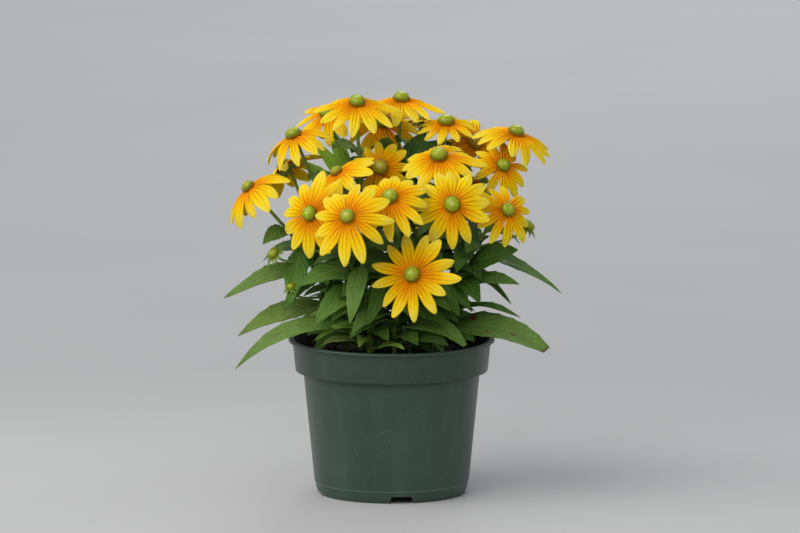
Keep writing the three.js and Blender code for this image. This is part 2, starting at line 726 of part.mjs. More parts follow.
const group = new THREE.Group();
addMesh(group, 'pot', potGeometry(), plastic);
addMesh(group, 'soil', soilGeometry(), pottingMix);

const stems = STEMS.map(stemPaths);
const leaves = allLeaves(stems);
stems.forEach((paths, i) => {
  addMesh(group, named('leafy_stem', i + 1), leafyStemGeometry(i + 1, paths, leaves), foliage);
});
HEADS.forEach((head, i) => {
  addMesh(group, named('rays', i + 1), raysGeometry(i + 1), petal);
  addMesh(group, named('cone', i + 1), coneGeometry(i + 1), floret);
});

export default group;
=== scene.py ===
# %% [markdown]
# # A black-eyed susan in its nursery pot
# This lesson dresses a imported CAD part. The solids give every place and size: the pot, the
# soil, ten leafy stems, and for each flower head one whorl of rays and one cone. Here each of
# them gets the skin that a camera expects, and the solids stay behind it for the physics.

# %% Load the frame
import math

import bmesh
import bpy
import numpy as np
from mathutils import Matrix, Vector


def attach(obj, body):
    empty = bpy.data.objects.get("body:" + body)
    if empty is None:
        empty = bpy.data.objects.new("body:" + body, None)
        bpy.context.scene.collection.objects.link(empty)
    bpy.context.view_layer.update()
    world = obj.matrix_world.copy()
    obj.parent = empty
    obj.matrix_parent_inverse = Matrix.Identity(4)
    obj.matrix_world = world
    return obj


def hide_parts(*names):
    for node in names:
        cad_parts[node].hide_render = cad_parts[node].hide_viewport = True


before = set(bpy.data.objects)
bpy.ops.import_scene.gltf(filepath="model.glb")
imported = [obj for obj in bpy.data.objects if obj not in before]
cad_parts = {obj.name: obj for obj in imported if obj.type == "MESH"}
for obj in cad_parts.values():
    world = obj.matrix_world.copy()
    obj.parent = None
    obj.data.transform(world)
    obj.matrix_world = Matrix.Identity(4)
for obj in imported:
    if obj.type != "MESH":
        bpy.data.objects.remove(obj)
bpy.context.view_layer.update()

# %% [markdown]
# ## Units and small tools
# The part's own tables are in millimetres and Blender works in metres, so `MM` turns one into
# the other at the last moment. `draw` is the part's own way to get an uneven number that is
# the same every time: with it the leaves and petals below land exactly where the solids are.

# %% Numbers that never change
MM = 0.001
NEAR = 0.01
UP = np.array([0.0, 0.0, 1.0])
DRAW_STEP = 12.9898
DRAW_SPREAD = 43758.5453


def draw(n):
    v = math.sin(n * DRAW_STEP) * DRAW_SPREAD
    return v - math.floor(v)


def lean(n):
    return draw(n) * 2 - 1


def any_angle(n):
    return 6.28 * draw(n)


def clamp(v):
    return min(1.0, max(0.0, v))


def unit(v):
    return v / np.linalg.norm(v)


def named(kind, index):
    return f"{kind}_{index:02d}"


print("draw(1), draw(2):", round(draw(1), 4), round(draw(2), 4))

# %% [markdown]
# Operators act on whatever is selected, and loading the frame leaves all its nodes selected.
# So each new piece starts from an empty selection, and in edit mode the vertices to work on
# are picked by where they are.

# %% Selecting by place


def start_clean():
    if bpy.context.object and bpy.context.object.mode != "OBJECT":
        bpy.ops.object.mode_set(mode="OBJECT")
    bpy.ops.object.select_all(action="DESELECT")


def pick(test):
    mesh = bpy.context.edit_object.data
    edit = bmesh.from_edit_mesh(mesh)
    edit.select_mode = {"VERT"}
    for vert in edit.verts:
        vert.select = bool(test(vert.co / MM))
    edit.select_flush_mode()
    bmesh.update_edit_mesh(mesh)


def scale_by(x, y=1, z=1):
    bpy.ops.transform.resize(value=(x, y, z), center_override=(0, 0, 0))


def keep_only(obj):
    start_clean()
    obj.select_set(True)
    bpy.context.view_layer.objects.active = obj


start_clean()
print("selected now:", len(bpy.context.selected_objects))

# %% Joining and finishing a mesh


def join(objects, name):
    keep_only(objects[0])
    for obj in objects:
        obj.select_set(True)
    if len(objects) > 1:
        bpy.ops.object.join()
    whole = bpy.context.object
    whole.name = whole.data.name = name
    return whole


def smooth(obj, degrees):
    keep_only(obj)
    bpy.ops.object.shade_smooth_by_angle(angle=math.radians(degrees))


def apply_modifier(obj, kind, **settings):
    keep_only(obj)
    modifier = obj.modifiers.new(kind.title(), kind)
    for key, value in settings.items():
        setattr(modifier, key, value)
    bpy.ops.object.modifier_apply(modifier=modifier.name)


def thicken(obj, thickness):
    apply_modifier(obj, "SOLIDIFY", thickness=thickness * MM, offset=0)


def floats(mesh, name, domain, values):
    mesh.attributes.new(name, "FLOAT", domain).data.foreach_set("value", values)


print("tools for meshes:", join.__name__, smooth.__name__, thicken.__name__, floats.__name__)

# %% [markdown]
# Materials are small node trees. These helpers add a node, plug values or links into its
# sockets and hand the result on, so each finish below reads as a list of what the surface is
# made of. A socket is given by its name, with `_` for a space, or as `i2` by its number.

# %% Building a material


def new_material(name):
    material = bpy.data.materials.new(name)
    material.use_nodes = True
    return material, material.node_tree, material.node_tree.nodes["Principled BSDF"]


def plug(tree, node, **inputs):
    for key, value in inputs.items():
        numbered = key[0] == "i" and key[1:].isdigit()
        socket = node.inputs[int(key[1:]) if numbered else key.replace("_", " ")]
        if isinstance(value, bpy.types.NodeSocket):
            tree.links.new(value, socket)
        else:
            socket.default_value = (*value, 1) if socket.type == "RGBA" else value


def add(tree, kind, settings=None, **inputs):
    node = tree.nodes.new(kind)
    for key, value in (settings or {}).items():
        setattr(node, key, value)
    plug(tree, node, **inputs)
    return node


def math_node(tree, operation, a, b=0.5, c=0.0):
    return add(tree, "ShaderNodeMath", {"operation": operation}, i0=a, i1=b, i2=c).outputs[0]


def attribute(tree, name):
    return add(tree, "ShaderNodeAttribute", {"attribute_name": name}).outputs["Fac"]


def bump(tree, height, strength, distance):
    node = add(tree, "ShaderNodeBump", Height=height, Strength=strength, Distance=distance)
    return node.outputs[0]


def noise(tree, place, scale, detail):
    return add(tree, "ShaderNodeTexNoise", Vector=place, Scale=scale, Detail=detail).outputs["Fac"]


def object_place(tree):
    return add(tree, "ShaderNodeTexCoord").outputs["Object"]


def object_noise(tree, scale, detail=3.0, stretch=(1, 1, 1)):
    place = add(tree, "ShaderNodeMapping", Vector=object_place(tree), Scale=stretch).outputs[0]
    return noise(tree, place, scale, detail)


print("tools for materials:", plug.__name__, add.__name__, object_noise.__name__)

# %% [markdown]
# Colours are read as screen values from 0 to 255 and turned into the light values that
# Blender's nodes want. A ramp turns a number into a colour, and a mix lays one over another.

# %% Colours, ramps and mixes


def grey(value):
    return (value, value, value)


def to_light(value):
    share = value / 255
    return ((share + 0.055) / 1.055) ** 2.4 if value > 10 else share / 12.92


def srgb(r, g, b):
    return tuple(to_light(value) for value in (r, g, b))


def ramp(tree, factor, *stops):
    node = tree.nodes.new("ShaderNodeValToRGB")
    marks = node.color_ramp.elements
    while len(marks) < len(stops):
        marks.new(0.5)
    for mark, (place, color) in zip(marks, stops):
        mark.position = place
        mark.color = (*color, 1)
    tree.links.new(factor, node.inputs["Fac"])
    return node.outputs["Color"]


def greys(tree, factor, *stops):
    return ramp(tree, factor, *((place, grey(tone)) for place, tone in stops))


def greys_by_place(tree, axis, span, *stops):
    """Greys along one axis of the object. Each stop is a place in millimetres, and a tone."""
    place = add(tree, "ShaderNodeSeparateXYZ", Vector=object_place(tree)).outputs[axis]
    share = math_node(tree, "MULTIPLY", place, 1 / (span * MM))
    return greys(tree, share, *((at / span, tone) for at, tone in stops))


def mix(tree, factor, a, b, blend="MIX"):
    settings = {"data_type": "RGBA", "blend_type": blend}
    return add(tree, "ShaderNodeMix", settings, i0=factor, i6=a, i7=b).outputs[2]


print("srgb(255, 128, 0):", [round(v, 3) for v in srgb(255, 128, 0)])

# %% [markdown]
# ## The camera, the floor and the light
# The photographer stood well back with a long lens, a little above the flowers: the rings of
# the pot are seen almost equally flat at its foot and at its rim. A very long lens on a far
# camera does the same here.

# %% Camera
CAMERA_RISE = math.radians(8.65)
CAMERA_AWAY = 10.968
LENS = 536.3
SENSOR_WIDTH = 36
FARTHEST_SEEN = 60
TARGET = Vector((0.00766, 0.0, 0.2099))

lens = bpy.data.cameras.new("photo_camera")
lens.sensor_width = SENSOR_WIDTH
lens.lens = LENS
lens.clip_end = FARTHEST_SEEN
camera = bpy.data.objects.new("photo_camera", lens)
bpy.context.collection.objects.link(camera)
away = Vector((0, -math.cos(CAMERA_RISE), math.sin(CAMERA_RISE)))
camera.location = TARGET + away * CAMERA_AWAY
camera.rotation_euler = (-away).to_track_quat("-Z", "Y").to_euler()
bpy.context.scene.camera = camera
bpy.context.scene.view_settings.view_transform = "Standard"
print("camera at", [round(v, 3) for v in camera.location])

# %% [markdown]
# The floor is a studio sweep in one pale tone, with a band of painted shade just behind the pot. A
# curved backdrop would do it too, but one wide plane has no edge that could show from another
# side.

# %% Floor
FADE_DEPTH = 4000
bpy.ops.mesh.primitive_plane_add(size=30)
floor = bpy.context.object
floor.name = "studio_floor"
paint, tree, shader = new_material("studio_paint")
tone = greys(tree, object_noise(tree, 3.0), (0.3, 0.435), (0.7, 0.455))
# A band of painted shade on the floor behind the pot.
painted_shade_behind = greys_by_place(tree, 1, FADE_DEPTH, (240, 1), (720, 0.88), (3600, 1))
plug(tree, shader, Base_Color=mix(tree, 1.0, tone, painted_shade_behind, "MULTIPLY"), Roughness=0.9)
floor.data.materials.append(paint)
print(floor.name, "painted with", paint.name)

# %% [markdown]
# The main light is a large soft box from above and the left, with a smaller one from the
# front. A faint one from the right opens the shade, one from behind draws the edges of the
# top flowers, and one brightens the floor far back. An even grey sky keeps the shade between
# the leaves readable.

# %% Light


def soft_box(name, place, size, watts, color, aim=TARGET):
    light = bpy.data.lights.new(name, "AREA")
    light.shape = "RECTANGLE"
    light.size, light.size_y = size
    light.energy = watts
    light.color = color
    box = bpy.data.objects.new(name, light)
    bpy.context.collection.objects.link(box)
    box.location = place
    box.rotation_euler = (Vector(aim) - Vector(place)).to_track_quat("-Z", "Y").to_euler()


soft_box("key_light", (-1.7, -1.0, 2.5), (2.6, 2.6), 62, (1.0, 0.985, 0.96))
soft_box("front_light", (-0.8, -2.8, 2.0), (1.8, 1.8), 29, (1.0, 0.99, 0.97))
soft_box("fill_light", (2.0, -1.8, 1.2), (1.6, 1.6), 4, (0.95, 0.97, 1.0))
soft_box("back_light", (0.3, 2.0, 2.6), (1.6, 1.6), 11, (1.0, 1.0, 1.0))
soft_box("floor_light", (0.6, 3.8, 2.4), (2.4, 1.2), 34, (1.0, 1.0, 1.0), (0.4, 3.8, 0))
sky = bpy.data.worlds.new("soft_sky")
sky.use_nodes = True
dome_of_sky = sky.node_tree.nodes["Background"]
plug(sky.node_tree, dome_of_sky, Color=(0.93, 0.96, 1.0), Strength=0.50)
bpy.context.scene.world = sky

# %% [markdown]
# ## The pot
# The real pot is blown from thin recycled plastic: a rolled lip, a stepped band, a tapered
# body and a foot with four drain openings. It could be spun from a profile, but pulling one
# ring upwards shows better how such a pot is built: each step extrudes the ring, moves it up
# and opens or closes it. The same ring then turns over the lip and goes down inside.

# %% The pot's profile
POT_SIDES = 112
POT_HEIGHT = 143
LIP_RADIUS = 95
LIP_DEPTH = 2
LIP_EDGE = 0.8
WALL = 1.5
BAND_TOP_RADIUS = 91.4
BAND_BOTTOM_RADIUS = 88.6
BAND_BOTTOM = 114.2
BODY_TOP_RADIUS = 81.4
BODY_TOP = 113.4
BODY_BOTTOM_RADIUS = 71.2
BODY_BOTTOM = 10.8
FOOT_RADIUS = 67.4
FOOT_INSIDE = 62
FLOOR_LIFT = 2.6
POT_PROFILE = [
    (FOOT_INSIDE - WALL, FLOOR_LIFT),
    (FOOT_INSIDE, 0),
    (FOOT_RADIUS, 0),
    (BODY_BOTTOM_RADIUS - 1.4, BODY_BOTTOM / 2),
    (BODY_BOTTOM_RADIUS - 0.8, BODY_BOTTOM - 0.6),
    (BODY_BOTTOM_RADIUS, BODY_BOTTOM),
    (BODY_TOP_RADIUS, BODY_TOP),
    (BAND_BOTTOM_RADIUS, BAND_BOTTOM),
    (BAND_TOP_RADIUS, POT_HEIGHT - LIP_DEPTH),
    (LIP_RADIUS, POT_HEIGHT - LIP_DEPTH),
    (LIP_RADIUS, POT_HEIGHT - LIP_EDGE),
    (LIP_RADIUS - LIP_EDGE, POT_HEIGHT),
    (BAND_TOP_RADIUS - WALL, POT_HEIGHT),
    (BAND_BOTTOM_RADIUS - WALL, BAND_BOTTOM + 1),
    (BODY_TOP_RADIUS - WALL, BODY_TOP + WALL),
    (BODY_BOTTOM_RADIUS - WALL, BODY_BOTTOM),
    (FOOT_RADIUS - WALL, FLOOR_LIFT + WALL),
]
print("profile points:", len(POT_PROFILE))

# %% Pulling the rings


def pull_rings(name, profile, sides):
    """Pulls one ring of vertices along a profile of (radius, height) and closes both ends."""
    start_clean()
    radius, height = profile[0]
    bpy.ops.mesh.primitive_circle_add(
        vertices=sides, radius=radius * MM, fill_type="NOTHING", location=(0, 0, height * MM)
    )
    obj = bpy.context.object
    obj.name = obj.data.name = name
    bpy.ops.object.transform_apply(location=True)
    bpy.ops.object.mode_set(mode="EDIT")
    for wide, high in profile[1:]:
        bpy.ops.mesh.extrude_region_move(
            TRANSFORM_OT_translate={"value": (0, 0, (high - height) * MM)}
        )
        scale_by(wide / radius, wide / radius)
        radius, height = wide, high
    for wide, high in (profile[-1], profile[0]):
        pick(lambda p: abs(p.xy.length - wide) < NEAR and abs(p.z - high) < NEAR)
        bpy.ops.mesh.extrude_region_move()
        bpy.ops.mesh.merge(type="CENTER")
    bpy.ops.mesh.select_all(action="SELECT")
    bpy.ops.mesh.remove_doubles(threshold=NEAR * MM / 10)
    bpy.ops.mesh.normals_make_consistent(inside=False)
    bpy.ops.object.mode_set(mode="OBJECT")
    return obj


pot = pull_rings("nursery_pot", POT_PROFILE, POT_SIDES)
print(pot.name, len(pot.data.vertices), "vertices")

# %% [markdown]
# The drain openings are cut with a wedge: a cube, narrower above than below, that is set
# against the foot four times and taken away with a boolean. The bevel afterwards rounds every
# moulded edge, and those small rounds are what catches the light on a real pot.

# %% Drain openings and moulded edges
NOTCH_COUNT = 4
NOTCH_HEIGHT = 6.5
NOTCH_BELOW = 0.5
NOTCH_TOP_WIDTH = 18
NOTCH_FOOT_WIDTH = 23
NOTCH_TURN = 7.6
NOTCH_START = 56
NOTCH_REACH = 20
EDGE_ROUND = 0.35
EDGE_ANGLE = math.radians(28)

wedges = []
for turn in range(NOTCH_COUNT):
    start_clean()
    middle = (0, -(NOTCH_START + NOTCH_REACH / 2) * MM, (NOTCH_HEIGHT - NOTCH_BELOW) / 2 * MM)
    bpy.ops.mesh.primitive_cube_add(
        size=MM, location=middle,
        scale=(NOTCH_FOOT_WIDTH, NOTCH_REACH, NOTCH_HEIGHT + NOTCH_BELOW),
    )
    wedge = bpy.context.object
    bpy.ops.object.transform_apply(location=True, rotation=False, scale=True)
    bpy.ops.object.mode_set(mode="EDIT")
    pick(lambda p: p.z > NOTCH_HEIGHT - 0.1)
    scale_by(NOTCH_TOP_WIDTH / NOTCH_FOOT_WIDTH)
    bpy.ops.object.mode_set(mode="OBJECT")
    wedge.rotation_euler.z = math.radians(NOTCH_TURN) + turn * 2 * math.pi / NOTCH_COUNT
    bpy.ops.object.transform_apply(rotation=True)
    wedges.append(wedge)
cutter = join(wedges, "drain_cutter")
apply_modifier(pot, "BOOLEAN", object=cutter, operation="DIFFERENCE", solver="EXACT")
bpy.data.objects.remove(cutter)
apply_modifier(
    pot, "BEVEL", width=EDGE_ROUND * MM, segments=2, limit_method="ANGLE", angle_limit=EDGE_ANGLE
)
smooth(pot, 35)
print(pot.name, "after the bevel:", len(pot.data.polygons), "faces")

# %% [markdown]
# The faces that look inwards, and the top of the lip, are dark: partly with peat that clings
# there, partly with painted shade inside the rim. Such faces could get a material of their own.
# One number on each face does the same and lets the finish fade between clean plastic and dark.

# %% Where peat clings
# How dark the top of the lip is: partly peat, partly painted shade.
LIP_PEAT_AND_SHADE = 0.75


def peat_and_shade_on(face):
    radius = face.center.xy.length
    if face.normal.xy.dot(face.center.xy) < -0.3 * radius:
        return 1.0
    return LIP_PEAT_AND_SHADE if face.normal.z > 0.9 and radius > (BAND_TOP_RADIUS - WALL) * MM else 0.0


peat_and_shade = [peat_and_shade_on(face) for face in pot.data.polygons]
floats(pot.data, "peat_and_shade", "FACE", peat_and_shade)
print("soiled faces:", sum(s > 0 for s in peat_and_shade), "of", len(peat_and_shade))

# %% [markdown]
# The plastic is dark grey-green with a satin sheen. Nursery pots are never clean: fine dust
# lies on them, water leaves faint upright streaks, and small pale specks of grit stick to the
# wall. The band is a shade darker as painted shade from the leaves above it, painted shadow
# lines lie under the band and under the lip, a painted highlight runs along the edge above the
# foot, and the inside is dark, partly with peat and partly with painted shade. All of this
# changes the colour and the roughness, and none of it the shape, so it is left to noise and to
# ramps that read the height.

# %% Plastic with dust
# The band's tone is painted shade, the shade of the leaves above it.
BAND_SHADE_TONE = 0.78
# This tone is a painted shadow, in the lines under the band and under the lip.
UNDER_EDGE_SHADOW_TONE = 0.62
WALL_SPAN = 200
FOOT_SPAN = 25
plastic, tree, shader = new_material("recycled_plastic")
cloud = object_noise(tree, 14.0, 5.0)
base = ramp(tree, cloud, (0.35, srgb(48, 69, 58)), (0.65, srgb(57, 80, 68)))
streaks = greys(tree, object_noise(tree, 55.0, 4.0, (1, 1, 0.12)), (0.5, 0), (0.8, 0.22))
washed = mix(tree, streaks, base, srgb(92, 108, 96))
# Painted shade on the band, and painted shadow lines under the band and the lip.
band_painted_shade = greys_by_place(
    tree, 2, WALL_SPAN,
    (109, 1), (112.4, UNDER_EDGE_SHADOW_TONE), (113.8, UNDER_EDGE_SHADOW_TONE), (114.8, BAND_SHADE_TONE),
    (139.6, BAND_SHADE_TONE), (140.4, UNDER_EDGE_SHADOW_TONE), (141.2, BAND_SHADE_TONE),
)
# A thin pale line above the foot is a painted highlight, where a small edge would catch the light.
foot_edge_highlight = greys_by_place(tree, 2, FOOT_SPAN, (10.125, 0), (10.7, 0.5), (11, 0.5), (11.75, 0))
# Lays the painted highlight above the foot and the painted shade of the band over the streaked
# plastic.
plastic_with_painted_light = mix(tree, foot_edge_highlight, mix(tree, 1.0, washed, band_painted_shade, "MULTIPLY"), srgb(120, 138, 124))
specks = greys(tree, object_noise(tree, 900.0, 2.0), (0.72, 0), (0.76, 0.65))
gritty = mix(tree, specks, plastic_with_painted_light, srgb(176, 178, 168))
# Inward faces and the lip's top turn dark: partly peat, partly painted shade.
inside = attribute(tree, "peat_and_shade")
dull = greys(tree, cloud, (0.3, 0.32), (0.7, 0.44))
plug(
    tree, shader, Base_Color=mix(tree, inside, gritty, srgb(24, 24, 18)),
    Roughness=mix(tree, inside, dull, grey(0.95)), Specular_IOR_Level=0.42,
    Normal=bump(tree, object_noise(tree, 1600.0, 2.0), 0.25, 0.00005),
)
pot.data.materials.append(plastic)
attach(pot, "root")
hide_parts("pot")
print(pot.name, "is made of", plastic.name)

# %% [markdown]
# ## The potting mix
# Inside the rim lies a dark mix of peat, bark and a few pale grains. The plug below is out of
# sight, so only its top matters. A bump in the material would leave it flat against the low
# light, so rings are pulled inwards from the wall, a clouds texture lifts them unevenly, and
# loose crumbs are strewn on top.

# %% Soil plug
SOIL_TOP = 129
SOIL_DIP = 1
SOIL_HEAP = 2.4
SOIL_GAP = 0.4
SOIL_SIDES = 72
SOIL_RINGS = 24
CLOD_HEIGHT = 4.5
gap = WALL + SOIL_GAP
band_share = (SOIL_TOP - BAND_BOTTOM) / (POT_HEIGHT - BAND_BOTTOM)
band_flare = BAND_TOP_RADIUS - BAND_BOTTOM_RADIUS
soil_edge = BAND_BOTTOM_RADIUS + band_flare * band_share - gap - SOIL_GAP
soil_profile = [
    (FOOT_RADIUS - gap - SOIL_GAP, FLOOR_LIFT + gap),
    (BODY_BOTTOM_RADIUS - gap, BODY_BOTTOM + SOIL_GAP),
    (BODY_TOP_RADIUS - gap, BODY_TOP + gap),
    (BAND_BOTTOM_RADIUS - gap - SOIL_GAP, BAND_BOTTOM + gap),
    (soil_edge, SOIL_TOP - SOIL_DIP),
]
for ring in range(1, SOIL_RINGS):
    share = 1 - ring / SOIL_RINGS
    soil_profile.append((soil_edge * share, SOIL_TOP - SOIL_DIP + SOIL_HEAP * (1 - share)))
soil = pull_rings("potting_mix", soil_profile, SOIL_SIDES)
loose = soil.vertex_groups.new(name="top")
top = [v.index for v in soil.data.vertices if v.co.z > (SOIL_TOP - 0.8) * MM]
loose.add(top, 1.0, "REPLACE")
clods = bpy.data.textures.new("clods", "CLOUDS")
clods.noise_scale = 6 * MM
apply_modifier(
    soil, "DISPLACE", texture=clods, texture_coords="OBJECT", strength=CLOD_HEIGHT * MM,
    mid_level=0.45, vertex_group="top",
)
print(soil.name, len(soil.data.polygons), "faces, loose top:", len(top))

# %% [markdown]
# One crumb is a small icosphere, squashed and roughened once. A finished blank like this is
# kept as points and faces, so that copies of it, each moved to its own place, make one mesh.

# %% One crumb, and copies of a blank


def blank_mesh(obj, size=1):
    """Takes an object's mesh as a pattern, in parts of `size`, and drops the object."""
    start_clean()
    places = np.array([v.co[:] for v in obj.data.vertices])
    faces = [tuple(p.vertices) for p in obj.data.polygons]
    bpy.data.objects.remove(obj)
    return places / size, faces


def mesh_from(name, places, faces):
    mesh = bpy.data.meshes.new(name)
    mesh.from_pydata([tuple(p) for p in places], [], faces)
    obj = bpy.data.objects.new(name, mesh)
    bpy.context.collection.objects.link(obj)
    return obj


def repeated(blank_faces, points, count, first=0):
    """The faces of `count` copies in a row, for a blank of so many points."""
    starts = [first + n * points for n in range(count)]
    return [tuple(start + i for i in face) for start in starts for face in blank_faces]


def copies(name, placed, blank_faces):
    """One mesh from many placed copies of a blank's points."""
    faces = repeated(blank_faces, len(placed[0]), len(placed))
    return mesh_from(name, np.concatenate(placed), faces)


start_clean()
bpy.ops.mesh.primitive_ico_sphere_add(subdivisions=1, radius=1)
bpy.ops.object.mode_set(mode="EDIT")
bpy.ops.mesh.select_all(action="SELECT")
bpy.ops.transform.resize(value=(1, 0.8, 0.6))
bpy.ops.transform.vertex_random(offset=0.22, uniform=0.4, normal=0.3, seed=4)
crumb_places, crumb_faces = blank_mesh(bpy.context.object)
print("crumb blank:", len(crumb_faces), "faces")

# %% [markdown]
# The crumbs are turned, sized and half sunk into the top. Every sixth is a thin sliver of
# bark, which is the same crumb drawn out long.

# %% Crumbs and bark
CRUMBS = 520
CRUMB_SIZE = 0.8
CRUMB_VARIES = 1.9
CRUMB_SUNK = 0.6
CRUMB_PILED = 1.2
OFF_EDGE = 3
BARK_EVERY = 6
BARK_STRETCH = 3.2


def turn_about_z(points, angle):
    c, s = math.cos(angle), math.sin(angle)
    x, y, z = points.T
    return np.stack([x * c - y * s, x * s + y * c, z], 1)


def turn_about_x(points, angle):
    c, s = math.cos(angle), math.sin(angle)
    x, y, z = points.T
    return np.stack([x, y * c - z * s, y * s + z * c], 1)


def strewn(n):
    radius = (soil_edge - OFF_EDGE) * math.sqrt(draw(n + 0.1))
    angle = 2 * math.pi * draw(n + 0.2)
    size = CRUMB_SIZE + CRUMB_VARIES * draw(n + 0.3) ** 2
    long, flat = (1, 1) if n % BARK_EVERY else (BARK_STRETCH, 0.5)
    ground = SOIL_TOP - CRUMB_SUNK + SOIL_HEAP * (1 - radius / soil_edge)
    moved = turn_about_x(crumb_places * [size * long, size, size * flat], 1.2 * lean(n + 0.4))
    height = ground + CRUMB_PILED * draw(n + 0.6)
    spot = [radius * math.cos(angle), radius * math.sin(angle), height]
    return (turn_about_z(moved, any_angle(n + 0.5)) + spot) * MM


crumbs = copies("crumbs", [strewn(n) for n in range(CRUMBS)], crumb_faces)
grains = np.repeat([draw(n + 7) for n in range(CRUMBS)], len(crumb_faces))
floats(crumbs.data, "grain", "FACE", grains)
floats(soil.data, "grain", "FACE", [0.3] * len(soil.data.polygons))
soil = join([soil, crumbs], "potting_mix")
smooth(soil, 25)
print(soil.name, len(soil.data.polygons), "faces with its crumbs")

# %% [markdown]
# Damp peat is nearly black, the bark is red-brown, and about one grain in thirty is pale. A
# noise would run across the crumbs, so the `grain` attribute gives each crumb its own place on
# that ramp.

# %% Peat and bark
peat, tree, shader = new_material("damp_peat")
fine = object_noise(tree, 700.0, 4.0)
kinds = ramp(
    tree, attribute(tree, "grain"),
    (0.0, srgb(16, 12, 8)), (0.45, srgb(26, 19, 13)), (0.85, srgb(44, 31, 20)),
    (0.96, srgb(66, 48, 30)), (0.985, srgb(104, 96, 78)),
)
dark = greys(tree, fine, (0.3, 0.45), (0.7, 1.0))
plug(
    tree, shader, Base_Color=mix(tree, 1.0, kinds, dark, "MULTIPLY"), Roughness=0.95,
    Specular_IOR_Level=0.1, Normal=bump(tree, fine, 0.8, 0.0006),
)
soil.data.materials.append(peat)
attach(soil, "root")
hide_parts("soil")
print(soil.name, "is made of", peat.name)

# %% [markdown]
# ## Where everything grows
# These are the plant's own tables. For each head: the middle of its cone, where it looks
# (degrees round from the viewer to the right, then up), how long and how many its rays are,
# and the lean of a ray's tip. Each stem has its root and its heads, the first of which ends
# the main stem while the others leave it on branches.

# %% Heads and stems
HEADS = [
    ((-32, -8, 366), (0, 67), 34, 12, -42),
    ((9, 38, 363), (22, 80), 33, 12, -38),
    ((-91, -10, 336), (-70, 66), 35, 12, -67),
    ((-133, -30, 290), (-80, 48), 36, 12, -72),
    ((50, 21, 344), (4, 73), 24, 11, -42),
    ((115, 7, 336), (60, 70), 35, 12, -53),
    ((43, -49, 322), (-8, 58), 37, 13, -42),
    ((103, -19, 308), (25, 32), 25, 11, -50),
    ((-52, -48, 307), (-75, 56), 36, 12, -44),
    ((-11, -14, 305), (-4, 24), 24, 11, -44),
    ((-2, -102, 291), (-15, 44), 37, 12, -42),
    ((55, -88, 281), (-2, 14), 36, 12, -25),
    ((107, -57, 272), (34, 30), 29, 11, -42),
    ((-76, -97, 274), (-30, 18), 36, 12, -35),
    ((-41, -132, 277), (-15, 30), 36, 12, -35),
    ((18, -116, 221), (-18, 28), 37, 13, -22),
    ((78, 45, 321), (20, 28), 28, 10, -75),
    ((76, 92, 274), (150, 40), 30, 10, -60),
    ((-100, 42, 299), (-130, 45), 30, 11, -55),
    ((-60, 50, 348), (-30, 60), 32, 11, -45),
    ((-8, 60, 338), (10, 45), 34, 11, -60),
    ((28, 112, 333), (150, 72), 30, 10, -28),
    ((34, 128, 256), (175, 35), 33, 12, -35),
    ((-62, 98, 245), (-160, 30), 33, 12, -35),
]
STEMS = [
    ((-12, 26), [(1, 0), (20, 0.45)]),
    ((8, 14), [(2, 0), (21, 0.5), (22, 0.4)]),
    ((-27, 3), [(3, 0), (9, 0.45)]),
    ((-40, 10), [(4, 0), (19, 0.5), (24, 0.3)]),
    ((16, 0), [(5, 0), (17, 0.5)]),
    ((36, 16), [(6, 0), (18, 0.4), (23, 0.25)]),
    ((16, -20), [(7, 0), (12, 0.4), (10, 0.5)]),
    ((2, -36), [(11, 0), (16, 0.25)]),
    ((-20, -34), [(15, 0), (14, 0.4)]),
    ((40, -10), [(13, 0), (8, 0.45)]),
]
print(len(HEADS), "heads on", len(STEMS), "stems")

# %% [markdown]
# A head carries its own axes: out along its aim, and two directions across it. A solid ray
# leaves the disc a little upwards and curls down along an arc, so any point of a petal can be
# given by how far along the arc it is, how far to the side, and how high above the skin.

# %% A head's frame and a ray's arc
DISC_RADIUS = 6.2
EYE_RISE = 4.5
RAY_LIFT = 12


def head_frame(eye, aim):
    turn, rise = math.radians(aim[0]), math.radians(aim[1])
    level = math.cos(rise)
    out = np.array([level * math.sin(turn), -level * math.cos(turn), math.sin(rise)])
    across = unit(np.cross(UP, out))
    along = np.cross(out, across)
    return {"out": out, "across": across, "along": along, "seat": np.array(eye) - EYE_RISE * out}


def head_of(index):
    return head_frame(*HEADS[index - 1][:2])


def around(head, turn):
    """The directions away from a head's middle and sideways, at a turn about its aim."""
    c, s = math.cos(turn), math.sin(turn)
    return head["across"] * c + head["along"] * s, head["along"] * c - head["across"] * s


def in_frame(head, size, points):
    """Points given across, along and out from a head's seat, brought to their place."""
    axes = np.stack([head["across"], head["along"], head["out"]])
    return head["seat"] + (np.array(points) * size) @ axes


def ray_arc(reach, hang, s, lift=RAY_LIFT):
    start = math.radians(lift)
    bend = start - math.radians(hang)
    angle = start - bend * s
    radius = DISC_RADIUS + reach * (math.sin(start) - math.sin(angle)) / bend
    height = reach * (math.cos(angle) - math.cos(start)) / bend
    return radius, height, angle


def ray_of(index, k):
    _, _, reach, rays, hang = HEADS[index - 1]
    seed = index * 50 + k
    return (
        (k + 0.12 * lean(seed)) * 2 * math.pi / rays,
        reach * (1 + 0.06 * lean(seed + 0.3)),
        hang + 5 * lean(seed + 0.6),
    )


print("a ray's tip, out and down:", [round(v, 1) for v in ray_arc(36, -42, 1)[:2]])

# %% [markdown]
# ## The petals
# A ray floret's petal is narrow at its foot, widest past the middle, and blunt with a small
# notch. Two shallow channels run along it, so its section is a soft W. One flat blank is made
# from a grid, whose rows are widened to the outline. The blank is copied for every petal, and
# only then bent onto its own arc, which no operator can do as exactly as the solids ask.

# %% One petal blank
PETAL_COLUMNS = 6
PETAL_ROWS = 9
PETAL_STATIONS = [0, 0.14, 0.28, 0.42, 0.56, 0.69, 0.80, 0.89, 0.96, 1.0]
PETAL_OUTLINE = [0.40, 0.62, 0.82, 0.95, 1.0, 0.95, 0.80, 0.59, 0.36, 0.16]


